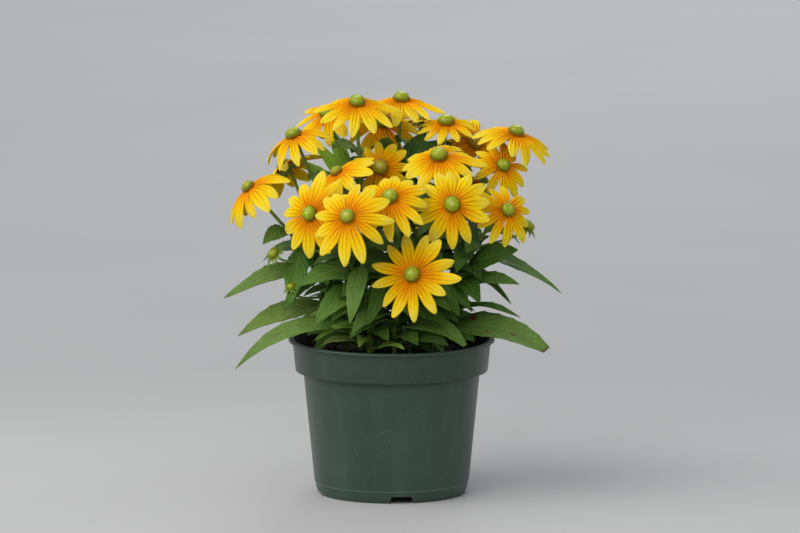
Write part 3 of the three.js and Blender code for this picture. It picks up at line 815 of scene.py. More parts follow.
def start_strip(columns, rows):
    """Opens a flat grid for editing, two wide and one long from the origin."""
    start_clean()
    bpy.ops.mesh.primitive_grid_add(
        x_subdivisions=columns, y_subdivisions=rows, size=2 * MM, location=(0, MM, 0)
    )
    bpy.ops.object.transform_apply(location=True)
    bpy.ops.object.mode_set(mode="EDIT")
    bpy.ops.mesh.select_all(action="SELECT")
    scale_by(1, 0.5)


def push_along(distance):
    bpy.ops.transform.translate(value=(0, distance * MM, 0))


start_strip(PETAL_COLUMNS, PETAL_ROWS)
for row in range(PETAL_ROWS, -1, -1):
    pick(lambda p: abs(p.y - row / PETAL_ROWS) < NEAR)
    scale_by(PETAL_OUTLINE[row])
    push_along(PETAL_STATIONS[row] - row / PETAL_ROWS)
pick(lambda p: p.y > 0.99 and abs(p.x) > 0.14)
push_along(-0.012)
pick(lambda p: p.y > 0.99 and abs(p.x) < 0.02)
push_along(-0.015)
petal_places, petal_faces = blank_mesh(bpy.context.object, MM)
petal_along = petal_places[:, 1]
petal_share = np.interp(petal_along, PETAL_STATIONS, PETAL_OUTLINE)
petal_across = petal_places[:, 0] / petal_share
print("petal blank:", len(petal_faces), "faces")

# %% [markdown]
# No two petals are alike. Each one is a little longer or shorter than its solid ray, hangs
# more or less, twists, sweeps to one side and lies above or below its neighbour, and a few
# are short or limp. In some heads all the petals of one side are shorter or hang further.
# Petals leave the disc level.

# %% How petals vary
PETAL_THICK = 0.35
PETAL_HALF_WIDTH = 5.9
PETAL_LIFT = -1
PETAL_EASE = 7
LEAST_BEND = 4
USUAL_REACH = 36
REACH_VARIES = 0.07
SHORT_FROM, SHORTER = 0.86, 0.15
HANG_VARIES = 8
LIMP_FROM, LIMPER = 0.88, 20
WIDTH_VARIES = 0.13
OVERLAP, OVERLAP_VARIES = 1.12, 0.08
TWIST = math.radians(21)
SWEEP = 2.8
LAYER = 0.28
# Uneven whorls: a side in degrees, how much shorter its petals are, how much further they hang.
UNEVEN = {
    1: [(90, 0.18, 48)],
    2: [(90, 0.05, 30)],
    7: [(180, 0.20, 0), (90, 0.28, 22)],
    11: [(100, 0.30, 0)],
    12: [(0, 0.22, 0), (130, 0.25, 0)],
    13: [(15, 0.15, 0)],
    14: [(175, 0.15, 0)],
    15: [(150, 0.24, 0)],
}


def petal_habit(index, k):
    """A petal's turn about its head, its reach, and the lean of its tip."""
    turn, reach, hang = ray_of(index, k)
    seed = index * 50 + k + 0.05
    for weak_side, shorter, lower in UNEVEN.get(index, []):
        facing = max(0.0, math.cos(turn - math.radians(weak_side)))
        reach *= 1 - shorter * facing
        hang -= lower * facing
    short = SHORTER if draw(seed + 0.85) > SHORT_FROM else 0
    limp = LIMPER if draw(seed + 0.95) > LIMP_FROM else 0
    reach *= 1 + REACH_VARIES * lean(seed + 0.55) - short
    hang -= HANG_VARIES * lean(seed + 0.65) + limp - PETAL_EASE
    return turn, reach, min(hang, PETAL_LIFT - LEAST_BEND)


print("first petal of head 16:", [round(v, 2) for v in petal_habit(16, 0)])

# %% [markdown]
# Bending a copy: the blank's length becomes the arc, its width runs square to it. The section
# gets its W, cups or flattens, and its rim ripples. At the foot a petal is only as wide as the
# room between its neighbours allows.

# %% Bending petals onto a head
RIB_HEIGHT = 0.55
CUP_DEPTH, CUP_VARIES = 0.5, 1.1
RIPPLE_HEIGHT = 0.55


def petal_section(x, s, seed):
    """Height of the petal's skin over its arc, for a place across (-1 to 1) and along it."""
    fading = math.sin(math.pi * min(1, 0.12 + s * 0.85)) ** 0.6
    ribs = RIB_HEIGHT * math.cos(3 * math.pi * x) * fading
    cup = (CUP_DEPTH + CUP_VARIES * lean(seed + 0.15)) * x * x * s
    ripple = RIPPLE_HEIGHT * x * x * math.sin(7 * s + any_angle(seed + 0.25)) * s
    return ribs - cup + ripple


def bent_petal(index, k):
    head, rays = head_of(index), HEADS[index - 1][3]
    turn, reach, hang = petal_habit(index, k)
    seed = index * 50 + k + 0.05
    width = PETAL_HALF_WIDTH * min(1, HEADS[index - 1][2] / USUAL_REACH) ** 0.8
    width *= 1 + WIDTH_VARIES * lean(seed + 0.75)
    overlap = OVERLAP + OVERLAP_VARIES * lean(seed + 0.05)
    layer = 0.0 if k == rays - 1 and rays % 2 else LAYER - 2 * LAYER * (k % 2)
    radial, side = around(head, turn)
    places = []
    for across, s, share in zip(petal_across, petal_along, petal_share):
        radius, height, angle = ray_arc(reach, hang, max(0.0, s), PETAL_LIFT)
        radius -= (1 - clamp(s)) ** 2
        half = min(width * share, overlap * math.pi * radius / rays)
        face = head["out"] * math.cos(angle) - radial * math.sin(angle)
        roll = TWIST * lean(seed + 0.35) * s
        raised = petal_section(across, s, seed) + layer + across * half * math.sin(roll)
        sideways = across * half * math.cos(roll) + SWEEP * lean(seed + 0.45) * s * s
        middle = head["seat"] + head["out"] * height + radial * radius
        places.append(middle + side * sideways + face * raised)
    return np.array(places) * MM


print("one petal's points:", len(bent_petal(16, 0)))

# %% [markdown]
# The colour will follow the petal and not its shape, so each point keeps how far along and
# across it is, and a number that belongs to its petal alone.

# %% A whorl for every head


def petals_of(index):
    rays = HEADS[index - 1][3]
    petals = [bent_petal(index, k) for k in range(rays)]
    whorl = copies(named("petals", index), petals, petal_faces)
    floats(whorl.data, "along", "POINT", np.tile(petal_along, rays))
    floats(whorl.data, "across", "POINT", np.tile(petal_across, rays))
    own = [draw(index * 50 + k + 0.7) for k in range(rays)]
    floats(whorl.data, "own", "POINT", np.repeat(own, len(petal_places)))
    thicken(whorl, PETAL_THICK)
    smooth(whorl, 60)
    return whorl


whorls = [petals_of(i + 1) for i in range(len(HEADS))]
print(len(whorls), "whorls,", sum(len(w.data.polygons) for w in whorls), "faces")

# %% [markdown]
# The colour runs from amber at the foot over golden yellow to pale lemon at the tip. The two
# furrows are burnt orange near the foot, partly the petal's own colour and partly painted shade
# in the creases, which reaches on fainter towards the tip. The rims near the foot are darkened
# as painted shade between the petals. Fine lines follow the length, dark ones at the foot and
# pale ones at the tip. The pattern could be painted, but nodes that read the petal's own
# numbers give every petal its own lines. Light passes through such a thin skin, so a share of
# it is translucent.

# %% Petal skin


def let_light_through(tree, shader, color, share):
    glow = add(tree, "ShaderNodeBsdfTranslucent", Color=color)
    both = add(tree, "ShaderNodeMixShader", i0=share, i1=shader.outputs[0], i2=glow.outputs[0])
    plug(tree, tree.nodes["Material Output"], Surface=both.outputs[0])


petal_skin, tree, shader = new_material("petal_skin")
along, across, own = (attribute(tree, name) for name in ("along", "across", "own"))
lanes = add(
    tree, "ShaderNodeCombineXYZ", X=math_node(tree, "MULTIPLY", across, 14.0),
    Y=math_node(tree, "MULTIPLY", along, 1.3), Z=math_node(tree, "MULTIPLY", own, 30.0),
)
lines = noise(tree, lanes.outputs[0], 1.6, 3.0)
uneven = math_node(tree, "ADD", along, math_node(tree, "MULTIPLY_ADD", lines, 0.30, -0.15))
gold = ramp(
    tree, math_node(tree, "MULTIPLY_ADD", own, 0.22, uneven),
    (0.02, srgb(244, 146, 0)), (0.28, srgb(252, 168, 0)), (0.46, srgb(255, 194, 0)),
    (0.62, srgb(255, 212, 0)), (0.84, srgb(255, 224, 8)), (1.0, srgb(255, 232, 48)),
)
wide = math_node(tree, "ABSOLUTE", across)
off_furrow = math_node(tree, "ABSOLUTE", math_node(tree, "SUBTRACT", wide, 0.34))
# Darker rims near the foot are painted shade, the shadow lines between the petals.
rim_gap_shade = greys(tree, wide, (0.80, 0), (1.0, 0.8))
# The furrows' burnt orange is partly the petal's own colour, partly painted shade in the creases.
crease_lines_and_shade = mix(tree, 1.0, greys(tree, off_furrow, (0.0, 1), (0.20, 0)), rim_gap_shade, "LIGHTEN")
foot_zone = greys(tree, along, (0.0, 1), (0.36, 0.8), (0.62, 0.38), (0.95, 0.20))
dark_lines = mix(tree, 1.0, crease_lines_and_shade, greys(tree, lines, (0.42, 1), (0.64, 0.4)), "MULTIPLY")
amber = mix(tree, mix(tree, 1.0, dark_lines, foot_zone, "MULTIPLY"), gold, srgb(190, 88, 0))
tip_zone = greys(tree, along, (0.50, 0), (0.90, 0.68))
pale_lines = mix(tree, 1.0, greys(tree, lines, (0.52, 0), (0.62, 1)), tip_zone, "MULTIPLY")
skin = mix(tree, pale_lines, amber, srgb(255, 243, 140))
plug(
    tree, shader, Base_Color=skin, Roughness=0.65, Specular_IOR_Level=0.10,
    Normal=bump(tree, lines, 0.8, 0.0006),
)
let_light_through(tree, shader, skin, 0.2)
for i, whorl in enumerate(whorls):
    whorl.data.materials.append(petal_skin)
    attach(whorl, "root")
    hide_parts(named("rays", i + 1))
print(len(whorls), "whorls wear", petal_skin.name)

# %% [markdown]
# ## The cones
# The eye of the flower is a dome packed with hundreds of tiny florets in two sets of spirals.
# The outer ones open first and turn brown-gold with pollen, the rest stay lime green. A bump
# pattern on a ball wouldn't break its outline. So a dome is pulled from a ring, and one floret
# blank, a small knob, is set on it by the golden angle, which draws both sets of spirals.

# %% Dome and floret blanks
CONE_RADIUS = 7.4
CONE_HEIGHT = 8.6
CONE_SIDES = 20
DOME_PROFILE = [
    (0.88, -0.02), (0.95, 0.08), (0.97, 0.24), (0.94, 0.44), (0.84, 0.62), (0.66, 0.77),
    (0.42, 0.87), (0.20, 0.90), (0.07, 0.865),
]

dome_rings = [(r * CONE_RADIUS, h * CONE_HEIGHT) for r, h in DOME_PROFILE]
dome_places, dome_faces = blank_mesh(pull_rings("dome", dome_rings, CONE_SIDES), MM)

start_clean()
bpy.ops.mesh.primitive_ico_sphere_add(subdivisions=1, radius=1)
bpy.ops.object.mode_set(mode="EDIT")
pick(lambda p: p.z > 0.5 / MM)
bpy.ops.transform.translate(value=(0, 0, 0.35))
floret_places, floret_faces = blank_mesh(bpy.context.object)
print("dome:", len(dome_faces), "faces, floret:", len(floret_faces))

# %% [markdown]
# The dome's outline is read back as height over radius, so each floret sits on the skin and
# points square away from it.

# %% Standing on the dome
WAY_DOWN = 1.12


def dome_at(share):
    """Place on the dome's skin, and its upright direction, at a share of the way down it."""
    radii, heights = zip(*reversed(dome_rings))
    steps = np.linspace(0, WAY_DOWN, len(radii))

    def skin(at):
        return np.interp(at, steps, radii), np.interp(at, steps, heights)

    (r0, h0), (r1, h1) = skin(max(0.0, share - 0.05)), skin(share + 0.05)
    return (*skin(share), math.atan2(r1 - r0, h0 - h1))


def standing(points, angle, radius, height, slope):
    """Sets a blank that points up on a cone's skin, so that it leans out by the skin's slope."""
    radial = np.array([math.cos(angle), math.sin(angle), 0.0])
    out = radial * math.cos(slope) + UP * math.sin(slope)
    side = np.array([-math.sin(angle), math.cos(angle), 0.0])
    return radial * radius + UP * height + points @ np.stack([side, np.cross(out, side), out])


print("halfway down the dome:", [round(float(v), 2) for v in dome_at(0.5)])

# %% [markdown]
# Florets shrink towards the middle, where they are still shut, and they are sunk in so far
# that only their tips show. Round the foot stands one ring of longer florets that have opened.
# Some cones are smaller than their solids, and a few are old enough to turn brown.

# %% Setting the florets
DISC_HALF = 0.5
CLEAR = 0.3
FLORETS = 150
KNOB_SIZE = 0.30
KNOB_SUNK = 0.45
OPEN_FROM = 0.90
# The pale middle is a painted highlight, over this share of the florets and this radius of the
# dome.
HIGHLIGHT_SHARE = 0.24
HIGHLIGHT_RADIUS = 2.2
OPEN_FOOT = 0.22
RING_FLORETS = 34
TUBE = [0.42, 0.42, 1.15]
TUBE_LIFT = 0.9
TUBE_SLOPE = 0.55
GOLDEN_ANGLE = 137.5
RIPE_HEADS = {9: 0.25, 10: 0.75, 17: 1.3}
CONE_SIZES = {4: 0.87, 7: 1.06, 8: 0.85, 9: 0.78, 13: 0.9, 14: 0.94, 15: 0.9}


def florets_on(index):
    """The florets of one cone, with how ripe each is and how near its painted pale highlight."""
    florets = []
    for n in range(FLORETS):
        share = math.sqrt((n + 0.5) / FLORETS)
        size = KNOB_SIZE * (1 + share) * (1 + 0.12 * lean(index * 200 + n))
        knob = floret_places * size - UP * size * KNOB_SUNK
        placed = standing(knob, math.radians(GOLDEN_ANGLE * n), *dome_at(share))
        opened = clamp((share - OPEN_FROM) / (1 - OPEN_FROM))
        florets.append((placed, opened, max(0.0, 1 - share / HIGHLIGHT_SHARE)))
    for n in range(RING_FLORETS):
        angle = (n + 0.3 * lean(index * 60 + n)) * 2 * math.pi / RING_FLORETS
        tube = floret_places * TUBE * (1 + 0.25 * lean(index * 70 + n))
        lift = TUBE_LIFT + 0.5 * draw(index * 80 + n)
        florets.append((standing(tube, angle, CONE_RADIUS * 0.98, lift, TUBE_SLOPE), 1.0, 0.0))
    return zip(*florets)


def cone_of(index):
    florets, opened, pale = florets_on(index)
    points = len(floret_places)
    places = np.concatenate([dome_places, *florets])
    faces = dome_faces + repeated(floret_faces, points, len(florets), len(dome_places))
    grown = places * CONE_SIZES.get(index, 1) + UP * (DISC_HALF + CLEAR)
    cone = mesh_from(named("florets", index), in_frame(head_of(index), 1, grown) * MM, faces)
    rise = places[:, 2] / CONE_HEIGHT
    at_foot = np.maximum(0, 1 - dome_places[:, 2] / (OPEN_FOOT * CONE_HEIGHT))
    at_top = np.maximum(0, 1 - np.hypot(dome_places[:, 0], dome_places[:, 1]) / HIGHLIGHT_RADIUS)
    age = RIPE_HEADS.get(index, 0.06 * draw(index + 0.4))
    ripe = np.concatenate([at_foot, np.repeat(opened, points)]) + age * (1.35 - rise)
    floats(cone.data, "ripe", "POINT", np.minimum(1, ripe))
    floats(cone.data, "painted_centre_highlight", "POINT", np.concatenate([at_top, np.repeat(pale, points)]))
    floats(cone.data, "rise", "POINT", rise)
    smooth(cone, 60)
    return cone


cones = [cone_of(i + 1) for i in range(len(HEADS))]
print(len(cones), "cones,", sum(len(c.data.polygons) for c in cones), "faces")

# %% [markdown]
# Lime green on top of the dome, with painted shade towards its edge and a pale painted
# highlight at the very top, and gold-brown where the florets have opened. The young florets
# have a waxy gloss.

# %% Floret colours
floret_skin, tree, shader = new_material("floret_skin")
ripe, painted_centre_highlight, rise = (attribute(tree, name) for name in ("ripe", "painted_centre_highlight", "rise"))
patch = object_noise(tree, 900.0, 2.0)
green = ramp(tree, patch, (0.3, srgb(122, 136, 2)), (0.7, srgb(166, 176, 10)))
brown = ramp(tree, patch, (0.3, srgb(140, 94, 10)), (0.7, srgb(206, 152, 30)))
# Painted shade: the green darkens towards the foot of the dome.
shaded = mix(tree, 1.0, green, greys(tree, rise, (0.12, 0.34), (0.70, 1)), "MULTIPLY")
# The pale middle is a painted highlight.
pale = mix(tree, painted_centre_highlight, shaded, srgb(188, 198, 84))
plug(
    tree, shader, Base_Color=mix(tree, ripe, pale, brown), Roughness=0.30,
    Specular_IOR_Level=0.38, Normal=bump(tree, patch, 0.3, 0.0002),
)
for i, cone in enumerate(cones):
    cone.data.materials.append(floret_skin)
    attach(cone, "root")
    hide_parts(named("cone", i + 1))
print(len(cones), "cones wear", floret_skin.name)

# %% [markdown]
# ## Stems
# Each main stem bows up from the soil to its head, and the other heads stand on branches of
# it. A stem could be extruded ring by ring, but its path has four corners, which is just what
# one stretch of a Bézier curve has: two ends with a handle each. So each stem is drawn as a
# curve with a round section, thinner towards the head, and made a mesh when it is done.

# %% Points on a path


def closing_in(path, s):
    corners = path
    while len(corners) > 2:
        corners = [a + (b - a) * s for a, b in zip(corners, corners[1:])]
    return corners


def on_path(path, s):
    a, b = closing_in(path, s)
    return a + (b - a) * s


def heading(path, s):
    a, b = closing_in(path, s)
    return unit(b - a)


def at_height(path, height):
    low, high = 0.0, 1.0
    for _ in range(40):
        middle = (low + high) / 2
        if on_path(path, middle)[2] < height:
            low = middle
        else:
            high = middle
    return on_path(path, low)


straight = [UP * n for n in range(4)]
print("halfway along a straight path:", on_path(straight, 0.5))

# %% Paths of the stems
HOLE_DEPTH = 12
CALYX_DEPTH = 6
FORK_SPREAD = 0.8


def bowed_path(start, toward, end, out):
    length = np.linalg.norm(end - start)
    return [start, start + toward * 0.35 * length, end - out * 0.3 * length, end]


def calyx_foot(head, size):
    return head["seat"] - head["out"] * CALYX_DEPTH * size


def stem_paths(root, heads):
    start = np.array([root[0], root[1], SOIL_TOP - HOLE_DEPTH + CLEAR])
    paths = []
    for index, share in heads:
        head = head_of(index)
        end = calyx_foot(head, 1)
        if share == 0:
            paths.append(bowed_path(start, UP, end, head["out"]))
            continue
        fork = on_path(paths[0], share)
        before = heading(paths[0], share)
        toward = unit(before + (unit(end - fork) - before) * FORK_SPREAD)
        paths.append(bowed_path(fork, toward, end, head["out"]))
    return paths


stems = [stem_paths(root, heads) for root, heads in STEMS]
print("paths on each stem:", [len(paths) for paths in stems])

# %% A round stem from a curve
STEM_RADIUS = 1.9
BRANCH_RADIUS = 1.7
SHOOT_RADIUS = 1.3
STEM_TAPER = 0.8


def stem_mesh(path, radius):
    curve = bpy.data.curves.new("stem", "CURVE")
    curve.dimensions = "3D"
    curve.bevel_depth = MM
    curve.bevel_resolution = 3
    curve.resolution_u = 18
    curve.use_fill_caps = True
    line = curve.splines.new("BEZIER")
    line.bezier_points.add(1)
    first, last = line.bezier_points
    for knot in (first, last):
        knot.handle_left_type = knot.handle_right_type = "FREE"
    corners = [Vector(p * MM) for p in path]
    first.co, first.handle_right, last.handle_left, last.co = corners
    first.handle_left = corners[0] * 2 - corners[1]
    last.handle_right = corners[3] * 2 - corners[2]
    first.radius, last.radius = radius, radius * STEM_TAPER
    obj = bpy.data.objects.new("stem", curve)
    bpy.context.collection.objects.link(obj)
    keep_only(obj)
    bpy.ops.object.convert(target="MESH")
    return bpy.context.object


print("a stem is", 2 * STEM_RADIUS, "mm thick, a branch", 2 * BRANCH_RADIUS)

# %% [markdown]
# ## The green cup and its bracts
# Under each head the stem widens into a cup, and a dozen narrow green bracts spread from it
# like a collar. From the side and from behind they are what tells a rudbeckia from a paper
# daisy. The cup is pulled from a ring as the pot is, and one bract is a tapered strip from a
# grid, because a flat strip bends better than a cut-out of a surface.

# %% Cup and bract blanks
BRACTS = 12
CUP_SIDES = 20
CUP_PROFILE = [
    (1.3, -6.4), (1.8, -5.4), (3.0, -4.0), (4.6, -2.9), (5.9, -2.0), (6.2, -1.3), (5.6, -0.85),
]
BRACT_OUTLINE = [0.9, 1.0, 0.95, 0.74, 0.42, 0.06]
BRACT_ROWS = len(BRACT_OUTLINE) - 1

cup_places, cup_faces = blank_mesh(pull_rings("cup", CUP_PROFILE, CUP_SIDES), MM)
start_strip(4, BRACT_ROWS)
for row, share in enumerate(BRACT_OUTLINE):
    pick(lambda p: abs(p.y - row / BRACT_ROWS) < NEAR)
    scale_by(share)
bract_places, bract_faces = blank_mesh(bpy.context.object, MM)
print("cup:", len(cup_faces), "faces, bract:", len(bract_faces))

# %% [markdown]
# A ring of strips goes round a head for two pieces: the collar of bracts that spreads below
# it, every second one shorter, and the stubs that close round a bud. A bud is a dome of young
# florets inside such stubs, which are rays that aren't out yet.

# %% Cups, collars and buds
COLLAR_RADIUS = 5.4
COLLAR_DROP = 1.5
BRACT_LENGTH, BRACT_VARIES = 9.5, 2.0
SHORT_BRACT = 0.82
BRACT_FALL, FALL_VARIES = 14, 34
BRACT_HALF_WIDTH = 1.55
BRACT_THICK = 0.45
BRACT_UNDER = 0.25
STUB_RADIUS = 6.0
STUB_LENGTH = 5.2
STUB_DROP = 0.6
STUB_HALF_WIDTH = 1.2
STUB_THICK = 0.5


def strip_ring(head, size, thickness, lay):
    """Strips round a head; `lay` gives a strip's turn, and its points out, across and up."""

    def strip(k):
        turn, *spots = lay(k, bract_places[:, 0], bract_places[:, 1])
        return in_frame(head, size, turn_about_z(np.stack(spots, 1), turn)) * MM

    ring = copies("strips", [strip(k) for k in range(BRACTS)], bract_faces)
    thicken(ring, thickness)
    return ring


def calyx(head, size, seed):
    def lay(k, x, s):
        size_share, under = (1, BRACT_UNDER) if k % 2 else (SHORT_BRACT, 0)
        long = (BRACT_LENGTH + BRACT_VARIES * lean(seed + k + 0.3)) * size_share
        fall = math.radians(BRACT_FALL + FALL_VARIES * draw(seed + k + 0.6))
        turn = (k + 0.25 * lean(seed + k)) * 2 * math.pi / BRACTS
        radius = COLLAR_RADIUS + long * np.cos(fall * s) * s
        height = -COLLAR_DROP - long * np.sin(fall * s) * s * 0.9 + 0.5 * x * x - under
        return turn, radius, BRACT_HALF_WIDTH * x, height

    cup = mesh_from("cup", in_frame(head, size, cup_places) * MM, cup_faces)
    return [cup, strip_ring(head, size, BRACT_THICK, lay)]


def bud(head, size, seed):
    def lay(k, x, s):
        turn = (k + 0.2 * lean(seed + k + 0.4)) * 2 * math.pi / BRACTS
        radius = STUB_RADIUS - 1.2 * s * s + 1.5 * np.sin(math.pi * s)
        return turn, radius, STUB_HALF_WIDTH * x, STUB_LENGTH * s - STUB_DROP

    small_dome = dome_places * 0.8 - UP * STUB_DROP
    heart = mesh_from("heart", in_frame(head, size, small_dome) * MM, dome_faces)
    stubs = strip_ring(head, size, STUB_THICK, lay)
    for part, rise in ((heart, 1.0), (stubs, 0.6)):
        floats(part.data, "rise", "POINT", [rise] * len(part.data.vertices))
    return [heart, stubs]


print("bracts in a collar:", BRACTS)

# %% [markdown]
# ## Leaves
# Rudbeckia leaves are long, rough and a little toothed, folded along a strong midrib with two
# side veins that start near the base. A flat picture of a leaf would show its edge from the
# side. As with the petals, one blank leaf is made from a grid and then laid along each leaf's
# own rib, which bows and rolls it.

# %% Leaves and buds that can be told apart
# Stem, height of the foot on it, tip, arch, width, and how far the blade turns to the viewer.
LEAVES = [
    (4, 214, (-154, -36, 186), 5, 21, 28),
    (4, 172, (-141, -50, 153), 10, 24, 30),
    (9, 140, (-143, -72, 126), 30, 25, 24),
    (4, 230, (-93, -58, 182), 4, 21, 0),
    (4, 244, (-118, -50, 238), 6, 16, 40),
    (9, 205, (-84, -96, 206), 12, 24, 40),
    (9, 222, (-38, -116, 174), 6, 18, 0),
    (8, 166, (-36, -92, 162), 14, 22, 25),
    (8, 152, (67, -88, 150), 16, 25, 25),
    (9, 168, (-76, -78, 176), 6, 13, 30),
    (9, 136, (-64, -60, 146), 10, 11, 30),
    (6, 214, (156, -20, 188), 14, 18, 14),
    (10, 212, (116, -44, 232), 2, 27, 50),
    (10, 190, (117, -44, 200), 8, 18, 35),
    (10, 168, (118, -36, 168), 10, 17, 25),
    (10, 152, (142, -58, 146), 20, 30, 30),
    (8, 214, (-22, -98, 170), 6, 20, 10),
    (7, 204, (62, -80, 176), 8, 22, 20),
]
# Stem, height of the foot on it, middle of the bud, where it looks, and its size.
BUDS = [
    (4, 200, (-111, -44, 231), (-60, 40), 0.85),
    (4, 168, (-94, -50, 202), (-40, 60), 0.6),
    (10, 215, (127, -28, 255), (70, 50), 0.95),
]
print(len(LEAVES), "placed leaves,", len(BUDS), "buds")

# %% [markdown]
# A leaf is an arched rib from its foot to its tip, a width, and a roll about the rib that
# comes in over its first third. Its two halves fold up a little along the rib.

# %% The shape of a leaf
LEAF_FOLD = 0.16
ROLL_SHARE = 0.35
LEAF_STEP = 0.06


def leaf_shape(base, tip, rise, width, roll):
    bend = base + (tip - base) * 0.45 + UP * 2 * rise
    over = unit((tip - base) * [1, 1, 0])
    to_viewer = -1 if over[0] < 0 else 1
    return {
        "rib": [base, bend, tip],
        "level": np.cross(over, UP),
        "width": width,
        "roll": math.radians(roll) * to_viewer,
    }


def leaf_share(s):
    return math.sin(math.pi * s**0.85) ** 0.85 if s < 1 else 0.0


def on_leaf(leaf, s, u, v):
    along = heading(leaf["rib"], s)
    side = unit(leaf["level"] - along * np.dot(leaf["level"], along))
    angle = leaf["roll"] * min(1, s / ROLL_SHARE)
    rolled = side * math.cos(angle) + np.cross(along, side) * math.sin(angle)
    face = np.cross(rolled, along)
    half = leaf["width"] / 2
    return on_path(leaf["rib"], s) + rolled * u * half + face * (abs(u) * half * LEAF_FOLD + v)


def leaf_points(leaf):
    places, s = [], 0.1
    while s <= 1:
        places.extend(on_leaf(leaf, s, u * leaf_share(s), 0) for u in (-1, -0.5, 0, 0.5, 1))
        s += LEAF_STEP
    return np.array(places)


print("share of its width that a leaf has at its middle:", round(leaf_share(0.5), 3))

# %% [markdown]
# The rest of the leaves follow the part's own rule, and a leaf with no room is left out. To
# know what room is left, the rule needs the places of the solid rays, so their sections are
# repeated here as the part has them, with a keel below.

# %% Places that are taken
RAY_SECTIONS = {0.3: 0.95, 0.55: 0.95, 0.8: 0.95, 1: 0.4}
RAY_HALF_WIDTH = 6.3
RAY_ROOM = 0.9
RAY_KEEL = 0.8
STEM_STEPS = 40


def ray_section(index, k, s):
    head, rays = head_of(index), HEADS[index - 1][3]
    turn, reach, hang = ray_of(index, k)
    radius, height, angle = ray_arc(reach, hang, s)
    half = min(RAY_HALF_WIDTH * RAY_SECTIONS[s], RAY_ROOM * math.pi * radius / rays)
    radial, side = around(head, turn)
    middle = head["seat"] + head["out"] * height + radial * radius
    face = head["out"] * math.cos(angle) - radial * math.sin(angle)
    return [middle - side * half, middle + side * half, middle - face * RAY_KEEL]


def ray_points(index):
    places = list(in_frame(head_of(index), 1, [(0, 0, CONE_HEIGHT / 2), (0, 0, -CALYX_DEPTH)]))
    for k in range(HEADS[index - 1][3]):
        for s in RAY_SECTIONS:
            places.extend(ray_section(index, k, s))
    return np.array(places)


def stem_points(paths):
    steps = [n / STEM_STEPS for n in range(STEM_STEPS + 1)]
    return np.array([on_path(path, s) for path in paths for s in steps])


taken = [(0, ray_points(i + 1)) for i in range(len(HEADS))]
taken += [(i + 1, stem_points(paths)) for i, paths in enumerate(stems)]
print("places taken by heads and stems:", sum(len(places) for _, places in taken))

# %% Room for a leaf
OVER_SOIL = 6
OVER_RIM = 4
OFF_WALL = 8


def nearer(places, others, room):
    """Whether two sets of points come within `room`; their boxes are compared first."""
    gap = np.maximum(places.min(0) - others.max(0), others.min(0) - places.max(0)).max()
    if gap > room:
        return False
    return ((places[:, None] - others[None]) ** 2).sum(2).min() <= room * room


def meets_pot(places):
    out = np.hypot(places[:, 0], places[:, 1])
    low = places[:, 2] < SOIL_TOP + OVER_SOIL
    rim = (places[:, 2] < POT_HEIGHT + OVER_RIM) & (out > BAND_BOTTOM_RADIUS - OFF_WALL)
    return bool((low | rim).any())


def placed_leaf(on, n_path, height, tip, rise, width, roll):
    base = at_height(stems[on - 1][n_path], height)
    leaf = leaf_shape(base, np.array(tip, float), rise, width, roll)
    taken.append((0, leaf_points(leaf)))
    return on, leaf


def grow(i, room, limits, tries):
    """The first tried leaf that has room, in a list, or an empty list."""
    for leaf in tries:
        places = leaf_points(leaf)
        if (np.abs(leaf["rib"][2][:2]) >= limits).any() or meets_pot(places):
            continue
        if not any(on != i + 1 and nearer(places, others, room) for on, others in taken):
            taken.append((0, places))
            return [(i + 1, leaf)]
    return []


leaves = [placed_leaf(on, 0, *shape) for on, *shape in LEAVES]
print(len(leaves), "placed leaves")

# %% [markdown]
# The rule itself: some levels on each stem, turned by the golden angle. Where a leaf would
# touch something it is turned aside, and then shortened.

# %% The rule that spreads the leaves
LEAF_LEVELS = [148, 162, 178, 196, 216, 238]
LEAF_LENGTHS = [84, 80, 74, 68, 60, 48]
LEAF_FAN = 230
LEAF_ROOM = 4.5
LEAF_TURNS = [0, 25, -25, 50, -50, 80, -80]
LEAF_SIZES = [1, 0.7]
NO_LIMITS = (math.inf, math.inf)


def free_leaf(base, angle, length, fall, rise, width, roll):
    reach = length * 0.9
    tip = base + np.array([reach * math.cos(angle), reach * math.sin(angle), -fall])
    return leaf_shape(base, tip, rise, width, roll)


def rule_leaf(path, i, j, step, scale):
    seed = 1000 + 10 * i + j
    base = at_height(path, LEAF_LEVELS[j] + 9 * lean(seed))
    outward = math.atan2(base[1], base[0])
    spread = ((j * GOLDEN_ANGLE + 70 * i) % LEAF_FAN) - LEAF_FAN / 2
    angle = outward + math.radians(spread + step)
    length = LEAF_LENGTHS[j] * scale * (1 + 0.15 * lean(seed + 0.3))
    fall = length * (0.02 + 0.34 * draw(seed + 0.6))
    roll = (32 if base[1] < 10 else -32) + 18 * lean(seed + 0.8)
    return free_leaf(base, angle, length, fall, length * 0.2, length * 0.26 + 4, roll)


for j in range(len(LEAF_LEVELS)):
    for i, paths in enumerate(stems):
        tries = (
            rule_leaf(paths[0], i, j, step, size) for size in LEAF_SIZES for step in LEAF_TURNS
        )
        leaves += grow(i, LEAF_ROOM, NO_LIMITS, tries)
growing_on = [on for on, _ in leaves]
print(len(leaves), "leaves; on each stem:", [growing_on.count(i + 1) for i in range(len(stems))])

# %% [markdown]
# The solids carry only the leaves that make the plant's main form. A real plant is fuller, so
# smaller leaves are added here. Some are placed: three broad ones under the top flowers, pale
# ones behind the left side, and a fringe over the rim of the pot. The last number is the age.
# The palest, behind the left side and at the rim, are painted light: their pale green stands
# for leaves that shine bright in the light.

